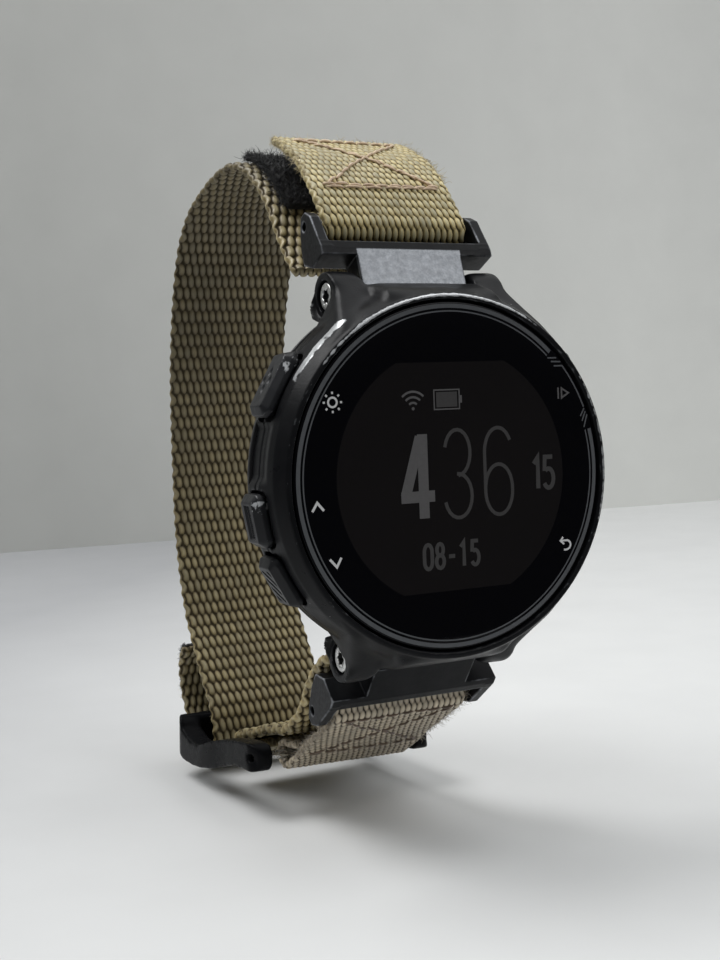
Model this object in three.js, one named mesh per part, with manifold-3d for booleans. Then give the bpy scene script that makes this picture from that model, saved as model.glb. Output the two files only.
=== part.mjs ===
// A round gps running watch on a hook-and-loop nylon strap, as an assembly of separate solids.
// Millimetres. +X is 3 o'clock, +Z is 12 o'clock, and the dial faces -Y.
// The origin is the centre of the pulse sensor window, the face that rests on the wrist.
import * as THREE from 'three';
import { mergeVertices } from 'three/addons/utils/BufferGeometryUtils.js';
import Module from 'manifold-3d';

const wasm = await Module();
wasm.setup();

// ---- driving dimensions ----
const ROUND = 56;                 // facets round the case
const SMALL = 16;                 // facets round pins and screws

const CREST_Y = -11.7;            // front edge of the bezel
const CREST_R = 21.85;            // outer radius of the bezel crest
const WALL_R = 23.3;              // largest radius of the case wall
const CAVITY_R = 19.2;            // inside of the case
const POCKET_R = 21.15;           // pocket that holds the lens
const SEAT_Y = -10.0;             // ledge under the lens
const SEAM_Y = -2.7;              // rear edge of the front case
const COVER_Y = -1.0;             // flat back of the rear cover
const LENS_R = 20.95;
const LENS_FRONT_Y = -11.4;
const LENS_BACK_Y = -10.4;

const LUG_Y = -1.75;              // lug pin axis
const LUG_Z = 22.3;
const LUG_R = 3.2;                // round end of a lug
const LUG_IN = 7.65;              // inner face of a lug
const LUG_OUT = 11.9;             // outer face of a lug
const PIN_R = 0.95;
const PIN_BORE_R = 1.06;
const SCREW_HEAD_R = 1.75;

const DISPLAY_R = 15.55;
const DISPLAY_FLAT = 13.7;        // the round display is cut flat above and below
const BOARD_BACK_Y = -6.4;

const COVER_SCREW_R = 20.95;      // circle of the rear cover screws
const CONTACT_Z = -15;
const CONTACT_PITCH = 3;

const BUTTON_Y = -5.4;
const BUTTON_DEPTH = 5.0;         // along Y
const BUTTON_FACE_R = 24.5;
const BUTTON_FOOT_R = 22.3;
const BUTTON_POCKET_R = 21.7;
const STEM_R = 0.9;
const STEM_END_R = 19.2;
const SWITCH_FACE_R = 18.7;
// name, clock angle from +X in degrees, half width of the cap
const BUTTONS = [
  ['start', 30, 3.6],
  ['back', -30, 3.6],
  ['light', 150, 4.2],
  ['up', 189.8, 3.2],
  ['down', 209, 3.4],
];

const STRAP_HALF = 10;            // the webbing is 20 mm wide
const WEB = 1.3;                  // thickness of the webbing
const ARM_IN = 10.35;
const ARM_OUT = 12.05;
const TONGUE_HALF = 7.3;
const BARREL_R = 1.75;
const BAR_R = 0.85;
const BAR_TIP_R = 0.5;
const HEEL_Y = -2.9;              // adapters are drawn from this line, just in front of the lug pin
const BAR_OUT = 10.5;             // spring bar, along the adapter
const BAR_BACK = 3.05;            // and across it
const LOWER_STRETCH = 1.12;       // the lower adapter is the longer one
const LOWER_LIFT = 0.7;
const EYE_R = 1.0;                // inside of the webbing round a spring bar
const TOP_TILT = 17.5;            // adapters lean back from the case plane, in degrees
const BOTTOM_TILT = 36;

const BUCKLE_PIN_Y = 23.9;
const BUCKLE_PIN_Z = -40.9;
const BUCKLE_SHIFT = -0.5;        // the loop leans a little to the left
const BUCKLE_YAW = 3;
const BUCKLE_ROLL = 2.4;          // and hangs lower on the right
const RAIL_IN = 11.8;
const RAIL_OUT = 14.8;
const BUCKLE_PIN_R = 0.9;

// ---- solids ----
function toSolid(geometry) {
  const bare = geometry.clone();
  bare.deleteAttribute('normal');
  bare.deleteAttribute('uv');
  const merged = mergeVertices(bare, 1e-5);
  const index = merged.index.array;
  const triangles = [];
  for (let i = 0; i < index.length; i += 3) {
    const [a, b, c] = [index[i], index[i + 1], index[i + 2]];
    if (a !== b && b !== c && a !== c) triangles.push(a, b, c);
  }
  const corners = new Float32Array(merged.attributes.position.array);
  let solid = wasm.Manifold.ofMesh(new wasm.Mesh({
    numProp: 3, vertProperties: corners, triVerts: new Uint32Array(triangles),
  }));
  if (solid.volume() < 0) {
    for (let i = 0; i < triangles.length; i += 3) {
      [triangles[i], triangles[i + 1]] = [triangles[i + 1], triangles[i]];
    }
    solid = wasm.Manifold.ofMesh(new wasm.Mesh({
      numProp: 3, vertProperties: corners, triVerts: new Uint32Array(triangles),
    }));
  }
  return solid;
}

function toGeometry(solid) {
  const mesh = solid.getMesh();
  const geometry = new THREE.BufferGeometry();
  geometry.setAttribute('position', new THREE.BufferAttribute(new Float32Array(mesh.vertProperties), 3));
  geometry.setIndex(new THREE.BufferAttribute(new Uint32Array(mesh.triVerts), 1));
  return geometry;
}

// a closed profile of [radius, y] points turned about the Y axis
function turned(profile, segments = ROUND) {
  const points = profile.map(([r, y]) => new THREE.Vector2(r, y));
  points.push(points[0].clone());
  return toSolid(new THREE.LatheGeometry(points, segments));
}

function shapeOf(points) {
  return new THREE.Shape(points.map(([u, v]) => new THREE.Vector2(u, v)));
}

// a shape in [y, z], pulled along X from x0 to x1
function alongX(shape, x0, x1) {
  const geometry = new THREE.ExtrudeGeometry(shape, { depth: x1 - x0, bevelEnabled: false, curveSegments: 12 });
  const basis = new THREE.Matrix4().makeBasis(
    new THREE.Vector3(0, 1, 0), new THREE.Vector3(0, 0, 1), new THREE.Vector3(1, 0, 0));
  geometry.applyMatrix4(basis);
  geometry.translate(x0, 0, 0);
  return toSolid(geometry);
}

// a shape in [x, z], pulled along Y from y0 to y1
function alongY(shape, y0, y1) {
  const geometry = new THREE.ExtrudeGeometry(shape, { depth: y1 - y0, bevelEnabled: false, curveSegments: 8 });
  const basis = new THREE.Matrix4().makeBasis(
    new THREE.Vector3(1, 0, 0), new THREE.Vector3(0, 0, 1), new THREE.Vector3(0, -1, 0));
  geometry.applyMatrix4(basis);
  geometry.translate(0, y1, 0);
  return toSolid(geometry);
}

// a round bar along X
function barX(radius, x0, x1, y, z, segments = SMALL) {
  const geometry = new THREE.CylinderGeometry(radius, radius, x1 - x0, segments);
  geometry.rotateZ(Math.PI / 2);
  geometry.translate((x0 + x1) / 2, y, z);
  return toSolid(geometry);
}

// a round bar along Y
function barY(radius, y0, y1, x, z, segments = SMALL) {
  const geometry = new THREE.CylinderGeometry(radius, radius, y1 - y0, segments);
  geometry.translate(x, (y0 + y1) / 2, z);
  return toSolid(geometry);
}

function block(x0, x1, y0, y1, z0, z1) {
  const geometry = new THREE.BoxGeometry(x1 - x0, y1 - y0, z1 - z0);
  geometry.translate((x0 + x1) / 2, (y0 + y1) / 2, (z0 + z1) / 2);
  return toSolid(geometry);
}

function roundedShape(u0, u1, v0, v1, r) {
  const shape = new THREE.Shape();
  shape.moveTo(u0 + r, v0);
  shape.lineTo(u1 - r, v0);
  shape.absarc(u1 - r, v0 + r, r, -Math.PI / 2, 0);
  shape.lineTo(u1, v1 - r);
  shape.absarc(u1 - r, v1 - r, r, 0, Math.PI / 2);
  shape.lineTo(u0 + r, v1);
  shape.absarc(u0 + r, v1 - r, r, Math.PI / 2, Math.PI);
  shape.lineTo(u0, v0 + r);
  shape.absarc(u0 + r, v0 + r, r, Math.PI, Math.PI * 1.5);
  return shape;
}

// the six-lobe socket of a screw, as a star of twelve corners
function socketShape(radius) {
  const points = [];
  for (let i = 0; i < 12; i += 1) {
    const r = i % 2 ? radius * 0.68 : radius;
    const turn = (i * Math.PI) / 6;
    points.push([r * Math.cos(turn), r * Math.sin(turn)]);
  }
  return shapeOf(points);
}

// places a solid made with +X pointing out of the case wall at a clock angle
function atClock(solid, degrees) {
  return solid.rotate([0, -degrees, 0]);
}

// a flat band of webbing through [x shift, y, z] points, with its width along X
function band(points, thickness, half = STRAP_HALF, steps = 40, start = 0, end = 1) {
  const curve = new THREE.CatmullRomCurve3(points.map((p) => new THREE.Vector3(...p)), false, 'centripetal');
  const corners = [];
  for (let i = 0; i <= steps; i += 1) {
    const at = start + ((end - start) * i) / steps;
    const p = curve.getPointAt(at);
    const t = curve.getTangentAt(at);
    const normal = new THREE.Vector2(t.z, -t.y).normalize();
    for (const [side, face] of [[-1, -1], [1, -1], [1, 1], [-1, 1]]) {
      corners.push(p.x + side * half);
      corners.push(p.y + (face * normal.x * thickness) / 2);
      corners.push(p.z + (face * normal.y * thickness) / 2);
    }
  }
  const index = [0, 2, 1, 0, 3, 2];
  for (let i = 0; i < steps; i += 1) {
    for (let k = 0; k < 4; k += 1) {
      const a = 4 * i + k;
      const b = 4 * i + ((k + 1) % 4);
      index.push(a, b, b + 4, a, b + 4, a + 4);
    }
  }
  const last = 4 * steps;
  index.push(last, last + 1, last + 2, last, last + 2, last + 3);
  const geometry = new THREE.BufferGeometry();
  geometry.setAttribute('position', new THREE.Float32BufferAttribute(corners, 3));
  geometry.setIndex(index);
  return toSolid(geometry);
}

// points moved sideways by a distance, across their own line in the YZ plane
function beside(points, distance) {
  const curve = new THREE.CatmullRomCurve3(points.map((p) => new THREE.Vector3(...p)), false, 'centripetal');
  const moved = [];
  const count = points.length * 2;
  for (let i = 0; i <= count; i += 1) {
    const p = curve.getPointAt(i / count);
    const t = curve.getTangentAt(i / count);
    const normal = new THREE.Vector2(t.z, -t.y).normalize();
    moved.push([p.x, p.y + normal.x * distance, p.z + normal.y * distance]);
  }
  return moved;
}

// ---- materials and nodes ----
const part = new THREE.Group();

function finish(color, roughness, metalness = 0) {
  return { color, roughness, metalness };
}

const CASE_BLACK = finish(0x1b1c1f, 0.45);
const COVER_BLACK = finish(0x151619, 0.55);
const BUTTON_BLACK = finish(0x26272a, 0.5);
const GLASS = finish(0x050507, 0.08);
const PANEL = finish(0x141212, 0.35);
const SILICONE = finish(0x303134, 0.8);
const BOARD_GREEN = finish(0x14402c, 0.5);
const STEEL = finish(0xb9bbbd, 0.3, 1);
const TIN = finish(0xa7a9ab, 0.4, 0.9);
const FRAME_GREY = finish(0x55585c, 0.6);
const FOIL = finish(0x8e9092, 0.45, 0.3);
const CERAMIC = finish(0xcfc7b4, 0.6);
const GOLD = finish(0xd6a94a, 0.3, 1);
const ADAPTER_BLACK = finish(0x232427, 0.42, 0.4);
const BUCKLE_BLACK = finish(0x17181a, 0.38);
const KHAKI = finish(0xa8996f, 0.8);
const HOOK_BLACK = finish(0x0e0e0f, 0.95);

function add(name, solid, look) {
  const mesh = new THREE.Mesh(toGeometry(solid), new THREE.MeshStandardMaterial(look));
  mesh.name = name;
  part.add(mesh);
}

// ---- case ----
function lugShape(s) {
  const shape = new THREE.Shape();
  shape.moveTo(SEAM_Y, s * 15);
  shape.lineTo(SEAM_Y, s * 18.95);
  const start = Math.atan2(-2.5, 2.0);
  const end = Math.atan2(0.714, -0.7);
  const steps = 12;
  for (let i = 0; i <= steps; i += 1) {
    const turn = start + ((end - start) * i) / steps;
    shape.lineTo(LUG_Y + LUG_R * Math.cos(turn), s * (LUG_Z + LUG_R * Math.sin(turn)));
  }
  shape.lineTo(-10.9, s * 18.0);
  shape.lineTo(-10.9, s * 15);
  return shape;
}

// seen from the front, each lug widens into the case
function lugPlan(s, side) {
  return shapeOf([
    [side * LUG_IN, s * 15], [side * LUG_IN, s * 26], [side * LUG_OUT, s * 26], [side * LUG_OUT, s * 22.8],
    [side * 12.9, s * 20.6], [side * 14.0, s * 18.0], [side * 16.2, s * 15],
  ]);
}

function lipShape(s) {
  return shapeOf([
    [-10.9, s * 18], [-10.9, s * 21.6], [-9.8, s * 22.5], [-5.9, s * 23.7], [-5.0, s * 23.5], [-5.0, s * 18],
  ]);
}

function buttonCap(half, grow, inner, outer, chamfer) {
  const shape = roundedShape(-BUTTON_DEPTH / 2 - grow, BUTTON_DEPTH / 2 + grow, -half - grow, half + grow, 1.1);
  const geometry = new THREE.ExtrudeGeometry(shape, {
    depth: outer - inner - 2 * chamfer, bevelEnabled: chamfer > 0, bevelThickness: chamfer, bevelSize: chamfer,
    bevelOffset: -chamfer, bevelSegments: 1, curveSegments: 3,
  });
  const basis = new THREE.Matrix4().makeBasis(
    new THREE.Vector3(0, 1, 0), new THREE.Vector3(0, 0, 1), new THREE.Vector3(1, 0, 0));
  geometry.applyMatrix4(basis);
  geometry.translate(inner + chamfer, BUTTON_Y, 0);
  return toSolid(geometry);
}

function stemBore(radius, from, to) {
  return barX(radius, from, to, BUTTON_Y, 0);
}

function frontCase() {
  let body = turned([
    [0, CREST_Y], [21.45, CREST_Y], [CREST_R, CREST_Y], [22.75, -9.8], [WALL_R, -6.2],
    [WALL_R - 0.2, -5.7], [WALL_R - 0.2, SEAM_Y], [0, SEAM_Y],
  ]);
  for (const s of [-1, 1]) {
    const lug = alongX(lugShape(s), -17, 17);
    for (const side of [-1, 1]) {
      body = body.add(lug.intersect(alongY(lugPlan(s, side), -12, 3)));
    }
    body = body.add(alongX(lipShape(s), -LUG_IN - 0.1, LUG_IN + 0.1));
    body = body.subtract(barX(BARREL_R + 0.35, -LUG_IN, LUG_IN, LUG_Y, s * LUG_Z, 24));
    body = body.subtract(block(-LUG_IN, LUG_IN, -4.4, 2, Math.min(s * 22.3, s * 28), Math.max(s * 22.3, s * 28)));
    body = body.subtract(barX(PIN_BORE_R, -LUG_OUT - 1, LUG_OUT + 1, LUG_Y, s * LUG_Z));
    for (const side of [-1, 1]) {
      const ends = [side * (LUG_OUT - 1.15), side * (LUG_OUT + 1)].sort((a, b) => a - b);
      body = body.subtract(barX(SCREW_HEAD_R + 0.25, ends[0], ends[1], LUG_Y, s * LUG_Z, 28));
    }
  }
  body = body.subtract(turned([[0, SEAT_Y - 0.05], [CAVITY_R, SEAT_Y - 0.05], [CAVITY_R, 1], [0, 1]]));
  body = body.subtract(turned([[0, -13], [21.4, -13], [POCKET_R, -11.4], [POCKET_R, SEAT_Y], [0, SEAT_Y]]));
  body = body.subtract(turned([[19.5, SEAM_Y - 0.6], [20.1, SEAM_Y - 0.6], [20.1, 1], [19.5, 1]]));
  for (const [x, z] of coverScrewPlaces()) {
    body = body.subtract(barY(0.7, -7.0, 1, x, z, 16));
  }
  for (const [, clock, half] of BUTTONS) {
    body = body.subtract(atClock(buttonCap(half, 0.18, BUTTON_POCKET_R, 27, 0), clock));
    body = body.subtract(atClock(stemBore(1.15, 18, 22), clock));
    body = body.subtract(atClock(stemBore(1.75, 20.4, 22), clock));
  }
  return body;
}

function coverScrewPlaces() {
  const places = [];
  for (const degrees of [45, 135, 225, 315]) {
    const turn = (degrees * Math.PI) / 180;
    places.push([COVER_SCREW_R * Math.cos(turn), COVER_SCREW_R * Math.sin(turn)]);
  }
  return places;
}

function contactPlaces() {
  return [-1.5, -0.5, 0.5, 1.5].map((step) => step * CONTACT_PITCH);
}

function rearCover() {
  let body = turned([
    [8.0, -0.15], [8.0, -1.2], [8.9, -1.2], [8.9, -2.4], [18.3, -2.4], [18.3, -3.4], [19.0, -3.4], [19.0, -2.6],
    [23.0, -2.6], [22.9, -1.9], [22.2, -1.2], [21.4, COVER_Y], [12.0, COVER_Y], [9.4, -0.15],
  ]);
  for (const s of [-1, 1]) {
    body = body.subtract(barX(BARREL_R + 0.35, -LUG_IN - 0.2, LUG_IN + 0.2, LUG_Y, s * LUG_Z, 24));
    for (const side of [-1, 1]) {
      const ends = [side * LUG_IN - 0.3 * side, side * (LUG_OUT + 6)].sort((a, b) => a - b);
      body = body.subtract(barX(LUG_R + 0.3, ends[0], ends[1], LUG_Y, s * LUG_Z, 28));
    }
  }
  for (const [x, z] of coverScrewPlaces()) {
    body = body.subtract(barY(0.72, -4, 1, x, z, 16)).subtract(barY(1.28, -2.1, 1, x, z));
  }
  for (const x of contactPlaces()) {
    body = body.subtract(barY(0.9, -4, 1, x, CONTACT_Z, 16));
  }
  return body;
}

function coverScrew(x, z) {
  const socket = alongY(socketShape(0.6), -1.7, 0).translate([x, 0, z]);
  return barY(0.6, -6.6, -2.0, x, z, 16).add(barY(1.1, -2.05, -1.2, x, z)).subtract(socket);
}

function displayShape(inset) {
  const r = DISPLAY_R - inset;
  const flat = DISPLAY_FLAT - inset;
  const turn = Math.asin(flat / r);
  const shape = new THREE.Shape();
  for (const middle of [0, Math.PI]) {
    for (let i = 0; i <= 16; i += 1) {
      const at = middle - turn + (turn * i) / 8;
      if (middle === 0 && i === 0) shape.moveTo(r * Math.cos(at), r * Math.sin(at));
      else shape.lineTo(r * Math.cos(at), r * Math.sin(at));
    }
  }
  return shape;
}

function mainBoard() {
  const board = turned([[0, -7.2], [18.4, -7.2], [18.4, BOARD_BACK_Y], [0, BOARD_BACK_Y]], 48);
  return board.subtract(block(-3, 3, -8, -6, 17.2, 20)).subtract(block(-3, 3, -8, -6, -20, -17.2));
}

function buttonSwitch() {
  const face = SWITCH_FACE_R - 0.15;
  return block(face - 1.6, face, BUTTON_Y - 0.9, BUTTON_Y + 1.0, -1.7, 1.7)
    .add(stemBore(0.8, face - 0.2, SWITCH_FACE_R));
}

function buttonSeal() {
  const ring = new THREE.LatheGeometry([
    new THREE.Vector2(1.0, 20.6), new THREE.Vector2(1.65, 20.6), new THREE.Vector2(1.65, 21.4),
    new THREE.Vector2(1.0, 21.4), new THREE.Vector2(1.0, 20.6)], SMALL);
  ring.rotateZ(-Math.PI / 2);
  ring.translate(0, BUTTON_Y, 0);
  return toSolid(ring);
}

add('front_case', frontCase(), CASE_BLACK);
add('lens', turned([[0, LENS_FRONT_Y], [LENS_R - 0.3, LENS_FRONT_Y], [LENS_R, LENS_FRONT_Y + 0.3],
  [LENS_R, LENS_BACK_Y], [0, LENS_BACK_Y]]), GLASS);
add('lens_gasket', turned([[19.4, -10.35], [20.9, -10.35], [20.9, -10.08], [19.4, -10.08]], 48), SILICONE);
add('display_panel', alongY(displayShape(0), -10.0, -8.7), PANEL);
add('backlight_plate', alongY(displayShape(0.4), -8.6, -8.1), FOIL);
add('inner_frame', turned([[0, -8.0], [17.2, -8.0], [17.2, -9.8], [18.9, -9.8], [18.9, -7.4], [0, -7.4]], 48),
  FRAME_GREY);
add('main_board', mainBoard(), BOARD_GREEN);
add('processor_shield', block(-13.5, -3.5, -6.3, -4.9, -3, 7), TIN);
add('gps_antenna', block(0, 9.5, -6.3, -5.1, 11, 14), CERAMIC);
add('battery', alongY(roundedShape(-0.5, 12.5, -11, 9, 1.2), -6.3, -3.5), FOIL);
add('vibration_motor', barY(4, -6.3, -3.6, -8, -9.5, 32), STEEL);
add('beeper', barY(3.5, -6.3, -5.1, -6.5, 12, 28), GOLD);
add('sensor_board', turned([[0, -3.2], [7.5, -3.2], [7.5, -2.6], [0, -2.6]], 40), BOARD_GREEN);
add('sensor_window', turned([[0, -2.3], [8.6, -2.3], [8.6, -1.4], [7.75, -1.4], [7.75, -0.35], [7.3, 0], [0, 0]], 48),
  GLASS);
add('rear_cover', rearCover(), COVER_BLACK);
add('rear_gasket', turned([[19.55, -3.25], [20.05, -3.25], [20.05, -2.65], [19.55, -2.65]], 48), SILICONE);
contactPlaces().forEach((x, i) => {
  add(`charge_contact_${i + 1}`, barY(0.75, -3.1, -0.92, x, CONTACT_Z, 16), GOLD);
});
coverScrewPlaces().forEach(([x, z], i) => {
  add(`cover_screw_${i + 1}`, coverScrew(x, z), STEEL);
});
for (const [name, clock, half] of BUTTONS) {
  const cap = buttonCap(half, 0, BUTTON_FOOT_R, BUTTON_FACE_R, 0.8);
  add(`button_${name}`, atClock(cap.add(stemBore(STEM_R, STEM_END_R, BUTTON_FOOT_R + 0.5)), clock), BUTTON_BLACK);
  add(`button_seal_${name}`, atClock(buttonSeal(), clock), SILICONE);
  add(`switch_${name}`, atClock(buttonSwitch(), clock), TIN);
}

// ---- lug pins and screws ----
function lugPin(s) {
  const pin = barX(PIN_R, -10.6, 10.6, LUG_Y, s * LUG_Z);
  return pin.subtract(barX(0.65, -12, -7.6, LUG_Y, s * LUG_Z, 16)).subtract(barX(0.65, 7.6, 12, LUG_Y, s * LUG_Z, 16));
}

function lugScrew(s, side) {
  const span = (from, to) => [side * from, side * to].sort((a, b) => a - b);
  const [h0, h1] = span(LUG_OUT - 1.05, LUG_OUT - 0.15);
  const [t0, t1] = span(8.0, LUG_OUT - 1);
  const [k0, k1] = span(LUG_OUT - 0.65, LUG_OUT + 1);
  const socket = alongX(socketShape(0.95), k0, k1).translate([0, LUG_Y, s * LUG_Z]);
  return barX(SCREW_HEAD_R, h0, h1, LUG_Y, s * LUG_Z, 28)
    .add(barX(0.55, t0, t1, LUG_Y, s * LUG_Z, 16)).subtract(socket);
}

for (const [end, s] of [['top', 1], ['bottom', -1]]) {
  add(`lug_pin_${end}`, lugPin(s), STEEL);
  add(`lug_screw_${end}_left`, lugScrew(s, -1), STEEL);
  add(`lug_screw_${end}_right`, lugScrew(s, 1), STEEL);
}

// ---- strap adapters, drawn along [out, back] and leaned back by a tilt ----
function leaned(out, back, s) {
  const turn = ((s > 0 ? TOP_TILT : BOTTOM_TILT) * Math.PI) / 180;
  const reach = s > 0 ? out : LOWER_STRETCH * out + LOWER_LIFT;
  const y = HEEL_Y + reach * Math.sin(turn) + back * Math.cos(turn);
  const z = LUG_Z + reach * Math.cos(turn) - back * Math.sin(turn);
  return [y, s * z];
}

function strapAdapter(s) {
  const put = (points) => shapeOf(points.map(([out, back]) => leaned(out, back, s)));
  const crossbar = put([
    [4.75, 2.7], [5.2, -0.85], [5.95, -0.86], [7.05, -0.6], [7.6, 1.4], [7.5, 3.3], [8.0, 4.5], [7.6, 4.95],
    [6.0, 4.9],
  ]);
  const arm = put([
    [4.75, 2.7], [5.2, -0.85], [6.2, -0.86], [10.95, 0.85], [12.1, 2.2], [12.0, 3.5], [10.6, 4.25], [8.1, 4.95],
    [6.0, 4.9],
  ]);
  const tongue = put([[0.9, -0.95], [5.6, -0.86], [5.6, 3.0], [0.8, 2.3]]);
  let body = alongX(crossbar, -ARM_OUT, ARM_OUT);
  body = body.add(alongX(arm, -ARM_OUT, -ARM_IN)).add(alongX(arm, ARM_IN, ARM_OUT));
  body = body.add(alongX(tongue, -TONGUE_HALF, TONGUE_HALF));
  body = body.add(barX(BARREL_R, -TONGUE_HALF, TONGUE_HALF, LUG_Y, s * LUG_Z, 24));
  body = body.subtract(barX(PIN_BORE_R, -9, 9, LUG_Y, s * LUG_Z));
  const [barY0, barZ0] = leaned(BAR_OUT, BAR_BACK, s);
  return body.subtract(barX(0.62, -14, 14, barY0, barZ0));
}

function springBar(s) {
  const [y, z] = leaned(BAR_OUT, BAR_BACK, s);
  return barX(BAR_R, -10.2, 10.2, y, z).add(barX(BAR_TIP_R, -11.3, 11.3, y, z));
}

add('strap_adapter_top', strapAdapter(1), ADAPTER_BLACK);
add('strap_adapter_bottom', strapAdapter(-1), ADAPTER_BLACK);
add('spring_bar_top', springBar(1), STEEL);
add('spring_bar_bottom', springBar(-1), STEEL);

// ---- webbing ----
const [TOP_BAR_Y, TOP_BAR_Z] = leaned(BAR_OUT, BAR_BACK, 1);
const [LOW_BAR_Y, LOW_BAR_Z] = leaned(BAR_OUT, BAR_BACK, -1);

// points of an arc round a bar, from one angle to another, in degrees in the [y, z] plane
function wrap(y, z, radius, from, to, steps, shift = 0) {
  const points = [];
  for (let i = 0; i <= steps; i += 1) {
    const turn = ((from + ((to - from) * i) / steps) * Math.PI) / 180;
    points.push([shift, y + radius * Math.cos(turn), z + radius * Math.sin(turn)]);
  }
  return points;
}

// the long strap: behind the top adapter, over the top, down the rear, through the buckle and back up
const LONG_ROUTE = [
  [-2.6, 6.0, 26.1], [-2.7, 8.2, 28.1], [-2.7, 11.3, 31.7], [-2.7, 14.4, 35.8], [-2.7, 18.3, 39.4], [-2.8, 22.4, 41.9],
  [-2.8, 27.2, 43.3], [-2.9, 33.2, 43.1], [-3.1, 39.2, 41.6], [-3.3, 44.6, 39.4], [-3.5, 48.6, 36.1],
  [-3.6, 51.4, 32.0], [-3.7, 54.1, 25], [-3.8, 55.9, 17], [-3.8, 57.2, 8], [-3.8, 57.9, -2],
  [-3.8, 57.8, -10.5], [-3.8, 56.6, -17.8], [-3.7, 54.4, -25], [-3.4, 51.8, -30], [-3.0, 49.2, -34.8],
  [-2.6, 47.3, -38.6], [-2.4, 46.6, -42.2], [-2.4, 47.2, -45.8], [-2.6, 50.2, -47.9], [-2.9, 54.2, -46.9],
  [-3.3, 57.6, -42.7], [-3.7, 59.5, -37.2], [-4.0, 58.6, -32.8], [-4.1, 56.2, -30.2],
];
const FOLD_ROUTE = [
  [-0.2, 19.9, 45.6], [-0.2, 14.6, 43.3], [-0.1, 9.6, 40.4], [0, 5.2, 36.7],
  ...wrap(TOP_BAR_Y, TOP_BAR_Z, EYE_R + WEB / 2, 140, 315, 6),
  [-0.3, 6.3, 33.4],
];
const SHORT_ROUTE = [
  [-1.4, 3.4, -23.1], [-1.4, 5.7, -24.1], [-1.4, 8.3, -25.8], [-1.3, 10.9, -28.4], [-1.2, 13.4, -31.5],
  [-1.1, 16.6, -34.2], [-1.0, 20.3, -36.2], [-1.0, 24.2, -37.1], [-1.0, 28, -37.9], [-1.1, 33, -39.5],
  [-1.3, 38.4, -41.0],
];

add('long_strap', band(LONG_ROUTE, WEB, STRAP_HALF, 88), KHAKI);
add('bar_loop_top', band(FOLD_ROUTE, WEB, STRAP_HALF, 40), KHAKI);
const TAPE_ROUTE = LONG_ROUTE.slice(1, 7).map(([, y, z]) => [-1.0, y, z]);
add('hook_tape_top', band(beside(TAPE_ROUTE, -(WEB / 2 + 0.15 + 0.5)), 1.0, 9.5, 20, 0.1, 0.97),
  HOOK_BLACK);
add('hook_patch_tail', band(beside(LONG_ROUTE.slice(26), 1.05), 0.7, 9.2, 10, 0.35, 0.97), HOOK_BLACK);
add('short_strap', band(SHORT_ROUTE, WEB, STRAP_HALF, 30), KHAKI);

// the loop that joins the lower spring bar to the buckle pin, two layers sewn flat between the bars
function barLoopBottom() {
  const reach = EYE_R + WEB;
  const along = new THREE.Vector2(BUCKLE_PIN_Y - LOW_BAR_Y, BUCKLE_PIN_Z - LOW_BAR_Z);
  const length = along.length();
  const lean = Math.atan2(along.y, along.x);
  const shape = new THREE.Shape();
  shape.absarc(0, 0, reach, Math.PI * 0.42, Math.PI * 1.5);
  shape.lineTo(5, -reach + 0.1);
  shape.lineTo(length - 5, -reach + 0.1);
  shape.absarc(length, 0, reach, -Math.PI / 2, Math.PI * 0.58);
  shape.lineTo(length - 4, 0.3);
  shape.lineTo(4, 0.3);
  for (const centre of [0, length]) {
    const eye = new THREE.Path();
    eye.absarc(centre, 0, EYE_R + 0.08, 0, Math.PI * 2);
    shape.holes.push(eye);
  }
  const geometry = new THREE.ExtrudeGeometry(shape, { depth: 2 * STRAP_HALF, bevelEnabled: false, curveSegments: 10 });
  const basis = new THREE.Matrix4().makeBasis(
    new THREE.Vector3(0, 1, 0), new THREE.Vector3(0, 0, 1), new THREE.Vector3(1, 0, 0));
  geometry.applyMatrix4(basis);
  geometry.translate(-STRAP_HALF, 0, 0);
  geometry.rotateX(lean);
  // towards the buckle the loop turns with its pin
  const place = geometry.attributes.position;
  for (let i = 0; i < place.count; i += 1) {
    const share = (place.getY(i) * along.x + place.getZ(i) * along.y) / (length * length);
    const side = (place.getX(i) - BUCKLE_SHIFT) * THREE.MathUtils.clamp(share, 0, 1);
    place.setY(i, place.getY(i) + side * Math.tan((BUCKLE_YAW * Math.PI) / 180));
    place.setZ(i, place.getZ(i) - side * Math.tan((BUCKLE_ROLL * Math.PI) / 180));
  }
  geometry.translate(0, LOW_BAR_Y, LOW_BAR_Z);
  return toSolid(geometry);
}
add('bar_loop_bottom', barLoopBottom(), KHAKI);

// ---- buckle ----
function placeBuckle(solid) {
  return solid.rotate([0, BUCKLE_ROLL, BUCKLE_YAW]).translate([BUCKLE_SHIFT, BUCKLE_PIN_Y, BUCKLE_PIN_Z]);
}

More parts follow.
